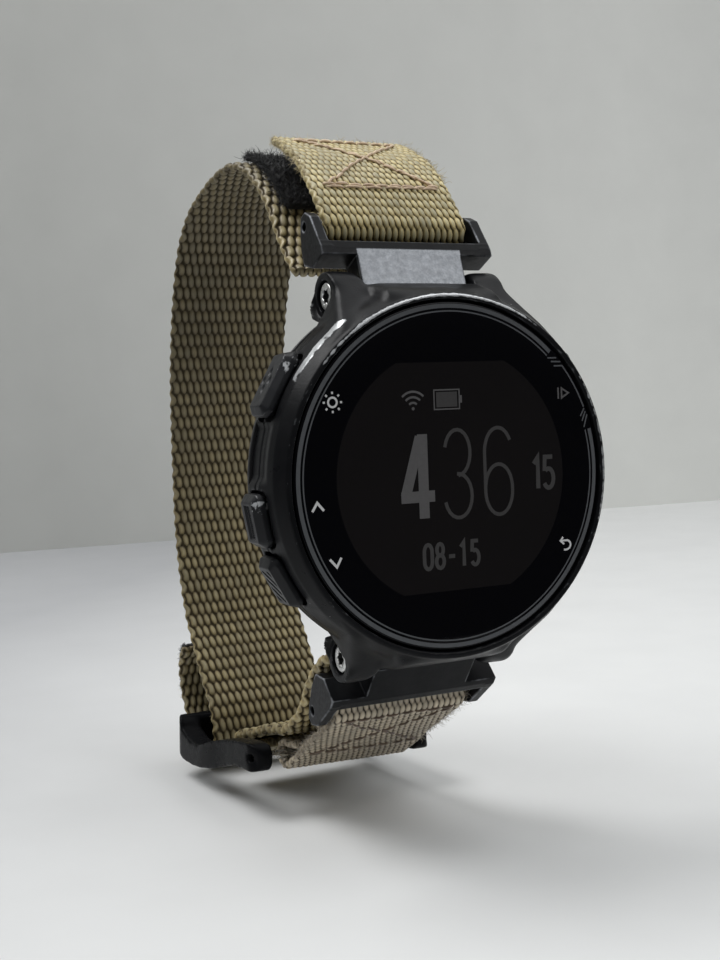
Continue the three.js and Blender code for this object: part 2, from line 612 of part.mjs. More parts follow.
function buckleFrame() {
  // side outline, from the pin backwards
  const rail = new THREE.Shape();
  rail.absarc(0, 0, 2.0, Math.PI / 2, Math.PI * 1.5);
  rail.quadraticCurveTo(8, -2.1, 16.5, -4.0);
  rail.quadraticCurveTo(21, -5.0, 27, -4.3);
  rail.quadraticCurveTo(29.6, -3.6, 29.3, -1.4);
  rail.quadraticCurveTo(28.6, 1.2, 26.2, 0.7);
  rail.quadraticCurveTo(25.2, 0.2, 24.8, -1.0);
  rail.quadraticCurveTo(20.5, -2.4, 16, -1.2);
  rail.quadraticCurveTo(7, 1.6, 0, 2.0);
  const rear = alongX(rail, -RAIL_OUT, RAIL_OUT);
  const window = block(-RAIL_IN, RAIL_IN, -3, 25.4, -8, 8);
  const plan = new THREE.ExtrudeGeometry(roundedShape(-RAIL_OUT, RAIL_OUT, -2.1, 29.4, 2.6),
    { depth: 16, bevelEnabled: false, curveSegments: 6 });
  plan.translate(0, 0, -8);
  let body = rear.subtract(window).intersect(toSolid(plan));
  body = body.subtract(barX(BUCKLE_PIN_R + 0.1, -RAIL_OUT - 1, RAIL_OUT + 1, 0, 0));
  return placeBuckle(body);
}
add('buckle_frame', buckleFrame(), BUCKLE_BLACK);
add('buckle_pin', placeBuckle(barX(BUCKLE_PIN_R - 0.25, -13.9, 13.9, 0, 0)), STEEL);

export default part;
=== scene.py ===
"""The looks of a round gps running watch on a nylon strap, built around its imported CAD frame."""

import math

import bmesh
import bpy
import numpy as np
from mathutils import Matrix, Vector


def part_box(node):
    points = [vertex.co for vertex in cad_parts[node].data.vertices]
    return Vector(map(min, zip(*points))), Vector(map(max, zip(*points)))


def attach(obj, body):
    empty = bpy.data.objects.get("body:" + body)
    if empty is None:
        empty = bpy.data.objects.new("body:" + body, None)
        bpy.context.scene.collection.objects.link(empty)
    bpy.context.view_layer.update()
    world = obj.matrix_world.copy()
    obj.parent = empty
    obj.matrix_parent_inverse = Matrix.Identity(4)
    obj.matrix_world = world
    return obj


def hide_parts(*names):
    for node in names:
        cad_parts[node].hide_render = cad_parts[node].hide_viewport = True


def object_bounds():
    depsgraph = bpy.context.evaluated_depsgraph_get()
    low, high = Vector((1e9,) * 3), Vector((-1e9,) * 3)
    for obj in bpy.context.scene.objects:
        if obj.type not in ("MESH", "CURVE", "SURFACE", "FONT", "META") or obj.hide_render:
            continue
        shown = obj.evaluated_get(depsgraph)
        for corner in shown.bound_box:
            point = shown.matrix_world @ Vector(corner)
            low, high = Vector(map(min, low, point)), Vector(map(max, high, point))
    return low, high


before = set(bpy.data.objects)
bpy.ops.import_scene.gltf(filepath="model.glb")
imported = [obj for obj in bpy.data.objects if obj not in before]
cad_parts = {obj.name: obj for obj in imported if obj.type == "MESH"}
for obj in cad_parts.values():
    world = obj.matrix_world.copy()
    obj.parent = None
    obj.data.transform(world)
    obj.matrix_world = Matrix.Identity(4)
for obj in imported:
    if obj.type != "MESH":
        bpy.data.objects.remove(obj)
CAD_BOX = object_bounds()

# ---- sizes, in millimetres ----
MM = 0.001                        # in metres
CASE_FACETS = 56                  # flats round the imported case, which are rounded off here
WALL_END_R = 23.6                 # what is further out belongs to the lugs
LUG_Y = -1.75                     # the lug pins, which are LUG_Z above and below the middle
LUG_Z = 22.3
LUG_OUTER_X = 11.9
CREST_R = 21.65                   # middle of the bezel crest
SHOULDER_R = 22.95                # edge between the slope of the bezel and the wall
SEAMS = ((-6.05, 0.14), (-5.05, 0.12))          # y and depth of the seam lines round the wall
PANEL_R = 15.5                    # the display, a round cut flat at the top and bottom
PANEL_HALF = 13.65
BORDER_R = 20.36                  # the printed ring and the line inside it
BORDER_LINE_R = 19.74
BUTTONS = {"start": 30, "back": -30, "light": 150, "up": 189.8, "down": 209}    # degrees from 3 o'clock
BUTTON_Y = -5.4
BUTTON_FACE_R = 24.5
WORN_CORNERS = {"light": -2.3, "up": -1.9}      # where along the wall a button's front chamfer is worn bright
SCREW_X = 10.95                   # underside of a lug screw's head
STRAP_HALF = 10.0
WEB_CORE = 0.36                   # from the middle of the webbing to the foot of its knots
# weaves: from one warp yarn to the next, from knot to knot along a yarn, and how full the knots are
COARSE = (20 / 34, 3.9, 1.0)
MEDIUM = (20 / 44, 2.9, 1.08)
FULL = (20 / 46, 2.6, 1.14)
TOP_BAR = (3.166, 31.397)         # y and z of the spring bars and the buckle pin
LOW_BAR = (6.891, -30.588)
BUCKLE_PIN = (23.9, -40.9)
BUCKLE_SHIFT = -0.5
BUCKLE_YAW = math.radians(3)
BUCKLE_ROLL = math.radians(2.4)
EYE_R = 1.65                      # middle of the webbing round a bar
CAMERA_PLACE = (-74.8, -141.3, 9.0)
CAMERA_AHEAD = (0.431, 0.900, -0.060)
CAMERA_UP = (0.061, 0.037, 0.997)
CAMERA_LENS = 46.83

# ---- the ways the bands of webbing go, each through (x, y, z) ----
LONG_ROUTE = [
    (-2.6, 6.0, 26.1), (-2.7, 8.2, 28.1), (-2.7, 11.3, 31.7), (-2.7, 14.4, 35.8), (-2.7, 18.3, 39.4),
    (-2.8, 22.4, 41.9), (-2.8, 27.2, 43.3), (-2.9, 33.2, 43.1), (-3.1, 39.2, 41.6), (-3.3, 44.6, 39.4),
    (-3.5, 48.6, 36.1), (-3.6, 51.4, 32.0), (-3.7, 54.1, 25), (-3.8, 55.9, 17), (-3.8, 57.2, 8),
    (-3.8, 57.9, -2), (-3.8, 57.8, -10.5), (-3.8, 56.6, -17.8), (-3.7, 54.4, -25), (-3.4, 51.8, -30),
    (-3.0, 49.2, -34.8), (-2.6, 47.3, -38.6), (-2.4, 46.6, -42.2), (-2.4, 47.2, -45.8), (-2.6, 50.2, -47.9),
    (-2.9, 54.2, -46.9), (-3.3, 57.6, -42.7), (-3.7, 59.5, -37.2), (-4.0, 58.6, -32.8), (-4.1, 56.2, -30.2),
]
SHORT_ROUTE = [
    (-1.4, 3.4, -23.1), (-1.4, 5.7, -24.1), (-1.4, 8.3, -25.8), (-1.3, 10.9, -28.4), (-1.2, 13.4, -31.5),
    (-1.1, 16.6, -34.2), (-1.0, 20.3, -36.2), (-1.0, 24.2, -37.1), (-1.0, 28, -37.9), (-1.1, 33, -39.5),
    (-1.3, 38.4, -41.0),
]
HEM_ROUTE = [
    (-1.3, 39.8, -41.9), (-1.3, 39.6, -43.1), (-1.2, 37.6, -43.1), (-1.1, 34.6, -42.0), (-1.1, 31.8, -41.0),
]


def arc(middle, radius, start, end, steps):
    """Points of an arc in the YZ plane, from one angle to another in degrees."""
    turns = np.radians(np.linspace(start, end, steps + 1))
    return [(0.0, middle[0] + radius * math.cos(t), middle[1] + radius * math.sin(t)) for t in turns]


FOLD_ROUTE = [
    (1.0, 19.9, 45.6), (0.8, 14.6, 43.3), (0.4, 9.6, 40.4), (0, 5.2, 36.7),
    *arc(TOP_BAR, EYE_R, 140, 315, 6), (-0.3, 6.3, 33.4),
]


# ---- meshes ----
def mesh_of(name, points, *groups):
    """A mesh from points in millimetres and arrays of faces, each with one number of corners."""
    mesh = bpy.data.meshes.new(name)
    mesh.vertices.add(len(points))
    mesh.vertices.foreach_set("co", (np.asarray(points, float) * MM).astype(np.float32).ravel())
    groups = [np.asarray(g) for g in groups if len(g)]
    corners = np.concatenate([g.ravel() for g in groups])
    sizes = np.concatenate([np.full(len(g), g.shape[1]) for g in groups])
    mesh.loops.add(len(corners))
    mesh.loops.foreach_set("vertex_index", corners.astype(np.int32))
    mesh.polygons.add(len(sizes))
    mesh.polygons.foreach_set("loop_start", np.concatenate([[0], np.cumsum(sizes)[:-1]]).astype(np.int32))
    mesh.update(calc_edges=True)
    mesh.shade_smooth()
    return mesh


def placed(name, data):
    """A new object in the scene."""
    made = bpy.data.objects.new(name, data)
    bpy.context.scene.collection.objects.link(made)
    return made


def piece(name, mesh, material, body, replaces=()):
    """Adds a mesh to the scene as a piece that rides on a body."""
    made = placed(name, mesh)
    mesh.materials.clear()
    mesh.materials.append(material)
    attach(made, body)
    if replaces:
        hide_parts(*replaces)


def points_of(mesh):
    """The mesh's points in millimetres."""
    found = np.empty(len(mesh.vertices) * 3, np.float32)
    mesh.vertices.foreach_get("co", found)
    return found.reshape(-1, 3).astype(float) / MM


def move_points(mesh, points):
    mesh.vertices.foreach_set("co", (points * MM).astype(np.float32).ravel())
    mesh.update()


def set_values(mesh, name, values, kind="FLOAT", field="value"):
    """Keeps a number or a vector for each point, for the materials."""
    kept = mesh.attributes.new(name, kind, "POINT")
    kept.data.foreach_set(field, np.asarray(values, np.float32).ravel())


def smoothstep(low, high, x):
    t = np.clip((x - low) / (high - low), 0, 1)
    return t * t * (3 - 2 * t)


def radius_of(points):
    """How far each point is from the case's axis."""
    return np.hypot(points[:, 0], points[:, 2])


def edges_of(mesh):
    """The two ends of every edge, and how many edges meet at each point."""
    ends = np.empty(len(mesh.edges) * 2, np.int32)
    mesh.edges.foreach_get("vertices", ends)
    a, b = ends.reshape(-1, 2).T
    return a, b, np.bincount(a, minlength=len(mesh.vertices)) + np.bincount(b, minlength=len(mesh.vertices))


def gathered(a, b, values):
    """The sum of each point's neighbours, column by column."""
    columns = values.reshape(len(values), -1).T
    sums = [np.bincount(a, c[b], len(c)) + np.bincount(b, c[a], len(c)) for c in columns]
    return np.stack(sums, 1).reshape(values.shape)


def relaxed(mesh, points, rounds, weight=1.0):
    """Points moved towards the mean of their neighbours, which rounds edges and fills inner corners."""
    a, b, count = edges_of(mesh)
    share = (0.5 * np.broadcast_to(weight, len(points)) / np.maximum(count, 1))[:, None]
    for _ in range(rounds):
        points = points + share * (gathered(a, b, points) - count[:, None] * points)
    return points


def mark_edges(mesh, extra=0.0):
    """Keeps how sharply each point stands out of its surroundings, which is where paint wears first, and
    where the adapters carry a painted highlight.
    """
    points = points_of(mesh)
    a, b, count = edges_of(mesh)
    count = np.maximum(count, 1)
    normals = np.empty(len(mesh.vertices) * 3, np.float32)
    mesh.vertex_normals.foreach_get("vector", normals)
    reach = np.linalg.norm(points[a] - points[b], axis=1).mean()
    mean = gathered(a, b, points) / count[:, None]
    out = np.einsum("ij,ij->i", points - mean, normals.reshape(-1, 3)) / reach
    for _ in range(2):
        out = gathered(a, b, out) / count
    set_values(mesh, "edge", np.clip(out * 8 + extra, 0, 1))


def fine_copy(node, voxel, rounds):
    """A CAD node's shape as a fine, even mesh with rounded edges. Sizes are millimetres."""
    source = placed(f"fine_{node}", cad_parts[node].data.copy())
    welded = bmesh.new()
    welded.from_mesh(source.data)
    bmesh.ops.remove_doubles(welded, verts=welded.verts, dist=1e-7)
    welded.to_mesh(source.data)
    welded.free()
    remesh = source.modifiers.new("fine", "REMESH")
    remesh.mode = "VOXEL"
    remesh.voxel_size = voxel * MM
    shown = source.evaluated_get(bpy.context.evaluated_depsgraph_get())
    mesh = bpy.data.meshes.new_from_object(shown)
    bpy.data.objects.remove(source)
    for kept in [a for a in mesh.attributes if a.name in ("sharp_face", "sharp_edge")]:
        mesh.attributes.remove(kept)
    mesh.shade_smooth()
    move_points(mesh, relaxed(mesh, points_of(mesh), rounds))
    return mesh


def round_off(points):
    """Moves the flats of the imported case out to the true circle, and leaves the lugs."""
    flat = 2 * math.pi / CASE_FACETS
    turn = np.mod(np.arctan2(points[:, 0], points[:, 2]), flat) - flat / 2
    grow = np.cos(turn) / math.cos(flat / 2) - 1
    grow = grow * (1 - smoothstep(WALL_END_R, WALL_END_R + 0.4, radius_of(points)))
    moved = points.copy()
    moved[:, [0, 2]] *= (1 + grow)[:, None]
    return moved


def turned(profile, segments=192):
    """Points and faces of a closed profile of (radius, y) turned about the Y axis."""
    profile = np.asarray(profile, float)
    turns = np.arange(segments) * 2 * math.pi / segments
    points = np.stack([
        np.outer(np.cos(turns), profile[:, 0]),
        np.broadcast_to(profile[:, 1], (segments, len(profile))),
        np.outer(np.sin(turns), profile[:, 0])], 2).reshape(-1, 3)
    n = len(profile)
    i, k = np.meshgrid(np.arange(segments), np.arange(n - 1), indexing="ij")
    a = (i * n + k).ravel()
    b = (((i + 1) % segments) * n + k).ravel()
    return points, np.stack([a, a + 1, b + 1, b], 1)


def ring_faces(rings, n):
    """Faces between rings of n points each, one ring after another."""
    i, k = np.meshgrid(np.arange(rings - 1), np.arange(n), indexing="ij")
    a = (i * n + k).ravel()
    b = (i * n + (k + 1) % n).ravel()
    return np.stack([a, b, b + n, a + n], 1)


def strands(name, paths, radii, sides, seed):
    """Tubes along many short paths at once: paths is strand by point by axis, radii one for each point."""
    rng = np.random.default_rng(seed)
    paths = np.asarray(paths, float)
    count, steps, _ = paths.shape
    along = np.gradient(paths, axis=1)
    along /= np.maximum(np.linalg.norm(along, axis=2, keepdims=True), 1e-9)
    aside = np.cross(along, rng.normal(size=(count, 1, 3)))
    aside /= np.maximum(np.linalg.norm(aside, axis=2, keepdims=True), 1e-9)
    third = np.cross(along, aside)
    turns = np.arange(sides) * 2 * math.pi / sides
    radii = np.broadcast_to(np.asarray(radii, float), (count, steps))[:, :, None, None]
    ring = aside[:, :, None] * np.cos(turns)[:, None] + third[:, :, None] * np.sin(turns)[:, None]
    points = (paths[:, :, None] + ring * radii).reshape(-1, 3)
    first = (np.arange(count) * steps * sides)[:, None, None]
    k = np.arange(steps - 1)[None, :, None] * sides
    j = np.arange(sides)[None, None, :]
    a = first + k + j
    b = first + k + (j + 1) % sides
    quads = np.stack([a, b, b + sides, a + sides], 3).reshape(-1, 4)
    caps = first[:, :, 0] + np.arange(sides)
    far = caps[:, ::-1] + (steps - 1) * sides
    return mesh_of(name, points, quads, caps[:, ::-1], far[:, ::-1])


# ---- materials ----
def node(tree, kind, settings=None, **sockets):
    """A shader node with its settings, and its sockets set to values or joined to other nodes."""
    made = tree.nodes.new("ShaderNode" + kind)
    for name, value in (settings or {}).items():
        setattr(made, name, value)
    for name, value in sockets.items():
        socket = made.inputs[int(name[1:])] if name[0] == "_" else made.inputs[name.replace("_", " ")]
        if isinstance(value, bpy.types.NodeSocket):
            tree.links.new(value, socket)
        else:
            socket.default_value = value
    return made


def calc(tree, operation, a, b=0.0, clamp=False):
    return node(tree, "Math", {"operation": operation, "use_clamp": clamp}, _0=a, _1=b).outputs[0]


def product(tree, a, b):
    return calc(tree, "MULTIPLY", a, b)


def blended(tree, share, low, high):
    """A colour between two colours."""
    mix = node(tree, "Mix", {"data_type": "RGBA"}, _0=share)
    for socket, value in ((mix.inputs[6], low), (mix.inputs[7], high)):
        if isinstance(value, bpy.types.NodeSocket):
            tree.links.new(value, socket)
        else:
            socket.default_value = (*value, 1)
    return mix.outputs[2]


def ramped(tree, value, low, high, to_low=0.0, to_high=1.0):
    """A value that goes from to_low to to_high while another goes from low to high."""
    made = node(tree, "MapRange", {"clamp": True}, _0=value, _1=low, _2=high, _3=to_low, _4=to_high)
    return made.outputs[0]


def noise(tree, scale, detail=3.0, vector=None, stretch=(1, 1, 1)):
    """Noise over the place on the object, with a scale in waves for each millimetre."""
    place = vector or node(tree, "TexCoord").outputs["Object"]
    size = scale if vector else scale / MM
    spread = node(tree, "Mapping", None, Vector=place, Scale=tuple(size * s for s in stretch)).outputs[0]
    return node(tree, "TexNoise", None, Vector=spread, Scale=1.0, Detail=detail).outputs[0]


def mottled(tree, scale, detail, low, high, to_low=0.0, to_high=1.0):
    """Noise, spread from to_low to to_high."""
    return ramped(tree, noise(tree, scale, detail), low, high, to_low, to_high)


def attribute(tree, name, output="Fac"):
    return node(tree, "Attribute", {"attribute_name": name}).outputs[output]


def bumped(tree, shader, height, depth, strength=1.0):
    """Fine relief, of a depth in millimetres."""
    relief = node(tree, "Bump", None, Strength=strength, Distance=depth * MM, Height=height)
    tree.links.new(relief.outputs[0], shader.inputs["Normal"])


def material(name, roughness=0.5, metallic=0.0, specular=0.5, ior=1.5, **sockets):
    """A material and its shader, with the constant values set on the shader itself."""
    made = bpy.data.materials.new(name)
    made.use_nodes = True
    shader = made.node_tree.nodes["Principled BSDF"]
    shader.inputs["Roughness"].default_value = roughness
    shader.inputs["Metallic"].default_value = metallic
    shader.inputs["Specular IOR Level"].default_value = specular
    shader.inputs["IOR"].default_value = ior
    for key, value in sockets.items():
        shader.inputs[key.replace("_", " ")].default_value = value
    return made, made.node_tree, shader


def coordinate(tree, axis):
    """How far along X, Y or Z (0, 1 or 2) each place on the object is, in metres."""
    return node(tree, "SeparateXYZ", None, _0=node(tree, "TexCoord").outputs["Object"]).outputs[axis]


def joined(tree, shader, colour, roughness=None, metallic=None):
    """Joins what the nodes work out to the shader."""
    for socket, value in (("Base Color", colour), ("Roughness", roughness), ("Metallic", metallic)):
        if value is not None:
            tree.links.new(value, shader.inputs[socket])


def moulded(name, colour, roughness, grain, worn=0.0, ior=1.5):
    """Moulded or coated surface: fine grain, uneven gloss and, if worn, bright rubbed patches where it stands
    out.
    """
    made, tree, shader = material(name, roughness, ior=ior)
    lighter = tuple(min(1, c * 1.9 + 0.002) for c in colour)
    base = blended(tree, mottled(tree, 0.22, 4, 0.35, 0.75), colour, lighter)
    if worn:
        chips = product(tree, attribute(tree, "edge"), mottled(tree, 1.4, 6, 0.42, 0.62))
        base = blended(tree, ramped(tree, chips, 0.30 / worn, 0.62 / worn), base, (0.42, 0.43, 0.44))
    joined(tree, shader, base, mottled(tree, 0.7, 5, 0.3, 0.7, roughness - 0.06, roughness + 0.1))
    bumped(tree, shader, noise(tree, 3.2, 2), grain)
    return made


def case_material():
    """Black coating, rubbed through to bright metal on the bezel's crest and, partly as a painted highlight,
    on its shoulder; lighter scratches on the edges, and a little dust.
    """
    made, tree, shader = material("case_black", 0.4, ior=1.2)
    patches = mottled(tree, 0.18, 4, 0.35, 0.75)
    base = blended(tree, patches, (0.0042, 0.0044, 0.0052), (0.0080, 0.0082, 0.0094))
    # bright grey metal where the coating is rubbed off, with a painted highlight of the lamp over it on the
    # shoulder
    bright = ramped(tree, calc(tree, "ADD", attribute(tree, "rub_and_highlight"), noise(tree, 1.1, 6)), 1.02, 1.18)
    base = blended(tree, bright, base, (0.50, 0.51, 0.52))
    scratch = ramped(tree, noise(tree, 1.0, 6, stretch=(0.5, 3, 1)), 0.5, 0.66)
    edge = product(tree, attribute(tree, "edge"), scratch)
    base = blended(tree, ramped(tree, edge, 0.30, 0.65, 0, 0.35), base, (0.22, 0.23, 0.24))
    place = node(tree, "TexCoord").outputs["Object"]
    dust = node(tree, "TexVoronoi", None, Vector=place, Scale=0.55 / MM).outputs
    rare = ramped(tree, node(tree, "SeparateColor", None, _0=dust["Color"]).outputs[0], 0.90, 0.91)
    specks = product(tree, ramped(tree, dust["Distance"], 0.05, 0.03), rare)
    base = blended(tree, specks, base, (0.30, 0.30, 0.30))
    rough = mottled(tree, 0.6, 5, 0.3, 0.7, 0.27, 0.40)
    joined(tree, shader, base, rough, product(tree, bright, 0.85))
    bumped(tree, shader, noise(tree, 3.5, 2), 0.012)
    return made


def glass_material():
    """The lens: black behind a gloss face, and a little lighter over the display."""
    made, tree, shader = material("lens_glass", 0.05, specular=0.12, ior=1.4)
    across = calc(tree, "POWER", coordinate(tree, 0), 2.0)
    upward = calc(tree, "POWER", coordinate(tree, 2), 2.0)
    radius = calc(tree, "SQRT", calc(tree, "ADD", across, upward))
    inside = ramped(tree, radius, (PANEL_R + 0.12) * MM, PANEL_R * MM)
    height = calc(tree, "ABSOLUTE", coordinate(tree, 2))
    cells = product(tree, inside, ramped(tree, height, (PANEL_HALF + 0.1) * MM, PANEL_HALF * MM))
    panel = blended(tree, noise(tree, 0.06, 2), (0.0078, 0.0070, 0.0072), (0.0096, 0.0086, 0.0088))
    base = blended(tree, cells, (0.0022, 0.0022, 0.0030), panel)
    joined(tree, shader, base, mottled(tree, 0.5, 5, 0.3, 0.8, 0.03, 0.09))
    return made


def printed(name, colour, roughness=0.12):
    """Ink under the lens face, with a fine mottle."""
    made, tree, shader = material(name, roughness, specular=0.12)
    joined(tree, shader, blended(tree, noise(tree, 2.5, 3), tuple(c * 0.82 for c in colour), colour))
    return made


def metal(name, colour, roughness, brushed=(1, 1, 1)):
    made, tree, shader = material(name, roughness, 1.0)
    lines = noise(tree, 3.0, 4, stretch=brushed)
    base = blended(tree, lines, tuple(c * 0.72 for c in colour), colour)
    joined(tree, shader, base, ramped(tree, lines, 0.3, 0.7, roughness - 0.08, roughness + 0.1))
    bumped(tree, shader, lines, 0.01)
    return made


def screw_material():
    """Bright steel, with painted shade making the socket and the sunk sides of the head near-black."""
    made, tree, shader = material("screw_steel", 0.3)
    out = calc(tree, "ABSOLUTE", coordinate(tree, 0))
    # painted shade: near-black, matt and not metallic in the socket and on the head's sides below its dished
    # top
    unshaded = ramped(tree, out, (SCREW_X + 0.55) * MM, (SCREW_X + 0.69) * MM)
    lines = noise(tree, 2.5, 4)
    steel = blended(tree, lines, (0.52, 0.52, 0.51), (0.80, 0.80, 0.78))
    base = blended(tree, unshaded, (0.006, 0.006, 0.006), steel)
    joined(tree, shader, base, ramped(tree, lines, 0.3, 0.7, 0.24, 0.42), unshaded)
    return made


def webbing_material(name, valley, body, crown, painted_shade=False):
    """Nylon webbing: painted shade between the knots and a painted highlight on their crowns, each with its
    own tint and filaments.
    """
    made, tree, shader = material(name, 0.4, specular=0.5, Sheen_Weight=0.03, Sheen_Roughness=0.4)
    shader.inputs["Sheen Tint"].default_value = (1.0, 0.95, 0.82, 1)
    height = attribute(tree, "height")
    filaments = noise(tree, 1.0, 3, attribute(tree, "cloth", "Vector"), (9.0, 0.9, 1))
    # by knot height: painted shade down between the knots, and a painted highlight on their crowns
    low = blended(tree, ramped(tree, height, 0.16, 0.60), valley, body)
    base = blended(tree, ramped(tree, height, 0.55, 0.95), low, crown)
    for darker in (ramped(tree, attribute(tree, "tint"), 0.0, 1.0, 0.0, 0.45),
                   ramped(tree, filaments, 0.3, 0.75, 0.35, 0.0),
                   mottled(tree, 0.10, 3, 0.35, 0.7, 0.0, 0.3)):
        base = blended(tree, darker, base, valley)
    if painted_shade:
        # painted shade: darker not beside the case but behind the wrist, and most near the top
        behind = ramped(tree, coordinate(tree, 1), 10 * MM, 24 * MM)
        above = ramped(tree, coordinate(tree, 2), -25 * MM, 15 * MM, 0.30, 0.66)
        base = blended(tree, product(tree, behind, above), base, (0.045, 0.036, 0.020))
    gloss = ramped(tree, filaments, 0.3, 0.7, 0.34, 0.54)
    joined(tree, shader, base, calc(tree, "MAXIMUM", gloss, ramped(tree, height, 0.15, 0.5, 1.0, 0.3)))
    bumped(tree, shader, filaments, 0.06, 0.8)
    return made


def thread_material(name, dark, light, roughness=0.55, sheen=0.2):
    made, tree, shader = material(name, roughness, specular=0.4, Sheen_Weight=sheen)
    joined(tree, shader, blended(tree, mottled(tree, 0.9, 4, 0.3, 0.7), dark, light))
    bumped(tree, shader, noise(tree, 6.0, 2), 0.03)
    return made


def adapter_material():
    """Black coated metal, worn to satin grey where the bare value says so, and lighter along its edges, with
    chips and a painted highlight.
    """
    made, tree, shader = material("adapter_black", 0.36, ior=1.22)
    patches = mottled(tree, 0.35, 4, 0.35, 0.75)
    black = blended(tree, patches, (0.0040, 0.0043, 0.0052), (0.0085, 0.0088, 0.0100))
    speckle = mottled(tree, 3.0, 7, 0.30, 0.75)
    grey = blended(tree, speckle, (0.17, 0.18, 0.195), (0.27, 0.28, 0.295))
    bare = attribute(tree, "bare")
    # lighter edges: chips in the coating, and a continuous painted highlight along them
    chips = product(tree, attribute(tree, "edge"), mottled(tree, 0.5, 5, 0.30, 0.66))
    bright = ramped(tree, chips, 0.12, 0.7, 0.0, 0.85)
    base = blended(tree, bright, blended(tree, bare, black, grey), (0.26, 0.27, 0.29))
    shiny = calc(tree, "ADD", product(tree, bare, 0.75), product(tree, bright, 0.6), True)
    joined(tree, shader, base, mottled(tree, 1.5, 5, 0.3, 0.7, 0.30, 0.46), shiny)
    bumped(tree, shader, noise(tree, 3.4, 3), 0.014)
    return made


def stage_material(name, dark, light, direction, start, end):
    """Matt surface with painted shade, getting lighter from start to end, in millimetres along a direction.
    """
    made, tree, shader = material(name, 0.75, specular=0.2)
    place = node(tree, "TexCoord").outputs["Object"]
    along = node(tree, "VectorMath", {"operation": "DOT_PRODUCT"}, _0=place, _1=direction).outputs["Value"]
    # painted shade: the fall-off of the lamps across the sheet
    base = blended(tree, ramped(tree, along, start * MM, end * MM), dark, light)
    mottle = mottled(tree, 0.05, 5, 0.2, 0.8, 0.0, 0.05)
    joined(tree, shader, blended(tree, mottle, base, (0, 0, 0)))
    return made


CASE = case_material()
COVER = moulded("cover_black", (0.008, 0.008, 0.009), 0.5, 0.02)
BUTTON = moulded("button_black", (0.0070, 0.0073, 0.0085), 0.36, 0.012, worn=0.8, ior=1.3)
ADAPTER = adapter_material()
BUCKLE = moulded("buckle_black", (0.0030, 0.0031, 0.0036), 0.27, 0.002, ior=1.12)
GLASS = glass_material()
SENSOR_GLASS = printed("sensor_glass", (0.004, 0.004, 0.005), 0.08)
RING_INK = printed("ring_ink", (0.095, 0.099, 0.105), 0.25)
ICON_INK = printed("icon_ink", (0.62, 0.62, 0.62), 0.3)
DIGIT_DARK = printed("digit_grey", (0.060, 0.058, 0.058))
DIGIT_BOLD = printed("digit_bold", (0.108, 0.105, 0.106))
RUBBER = moulded("silicone", (0.020, 0.020, 0.023), 0.7, 0.02)
STEEL = metal("steel", (0.62, 0.62, 0.61), 0.28)
SCREW = screw_material()
TIN = metal("tinned_steel", (0.55, 0.56, 0.57), 0.38, (4, 1, 1))
FOIL = metal("foil", (0.50, 0.51, 0.53), 0.42)
GOLD = metal("gold_plate", (0.78, 0.53, 0.16), 0.25)
BOARD = moulded("circuit_board", (0.007, 0.050, 0.025), 0.35, 0.01)
FRAME_GREY = moulded("frame_grey", (0.09, 0.10, 0.11), 0.55, 0.02)
CERAMIC = moulded("ceramic", (0.50, 0.46, 0.37), 0.55, 0.01)
PANEL = moulded("display_back", (0.007, 0.006, 0.006), 0.3, 0.005)
# khaki webbing of the long and short straps, with painted shade behind the wrist
KHAKI = webbing_material("khaki_webbing", (0.04, 0.028, 0.010), (0.50, 0.385, 0.165), (1.0, 0.88, 0.54), True)
# painted light: a brighter copy of the khaki webbing, for the lit fold round the upper bar
LIT_WEBBING = webbing_material("lit_webbing", (0.052, 0.038, 0.014), (0.86, 0.68, 0.29), (1.0, 0.93, 0.60))
# painted shade: a darker, greyer copy of the khaki webbing, for the lower loop
SHADED_KHAKI = webbing_material("shaded_webbing", (0.016, 0.012, 0.008), (0.52, 0.43, 0.305), (0.95, 0.84, 0.64))
STITCH = thread_material("stitch_thread", (0.50, 0.36, 0.24), (0.82, 0.64, 0.46))
# painted shade: a darker copy of the stitch thread, for the lower loop
SHADED_STITCH = thread_material("shaded_stitch_thread", (0.060, 0.040, 0.028), (0.17, 0.12, 0.085))
FUZZ = thread_material("khaki_fibres", (0.34, 0.28, 0.15), (0.72, 0.62, 0.40), 0.6, 0.2)
# painted shade: a darker copy of the khaki fibres, for the lower loop
SHADED_FUZZ = thread_material("shaded_fibres", (0.16, 0.13, 0.09), (0.42, 0.36, 0.27), 0.6, 0.5)
PILE = thread_material("hook_pile", (0.0025, 0.0025, 0.003), (0.020, 0.020, 0.022), 0.5, 0.1)


# ---- case ----
def boss_reach(points):
    """How far each point is from the axis of the lug pin on its side."""
    return np.hypot(points[:, 1] - LUG_Y, np.abs(points[:, 2]) - LUG_Z)


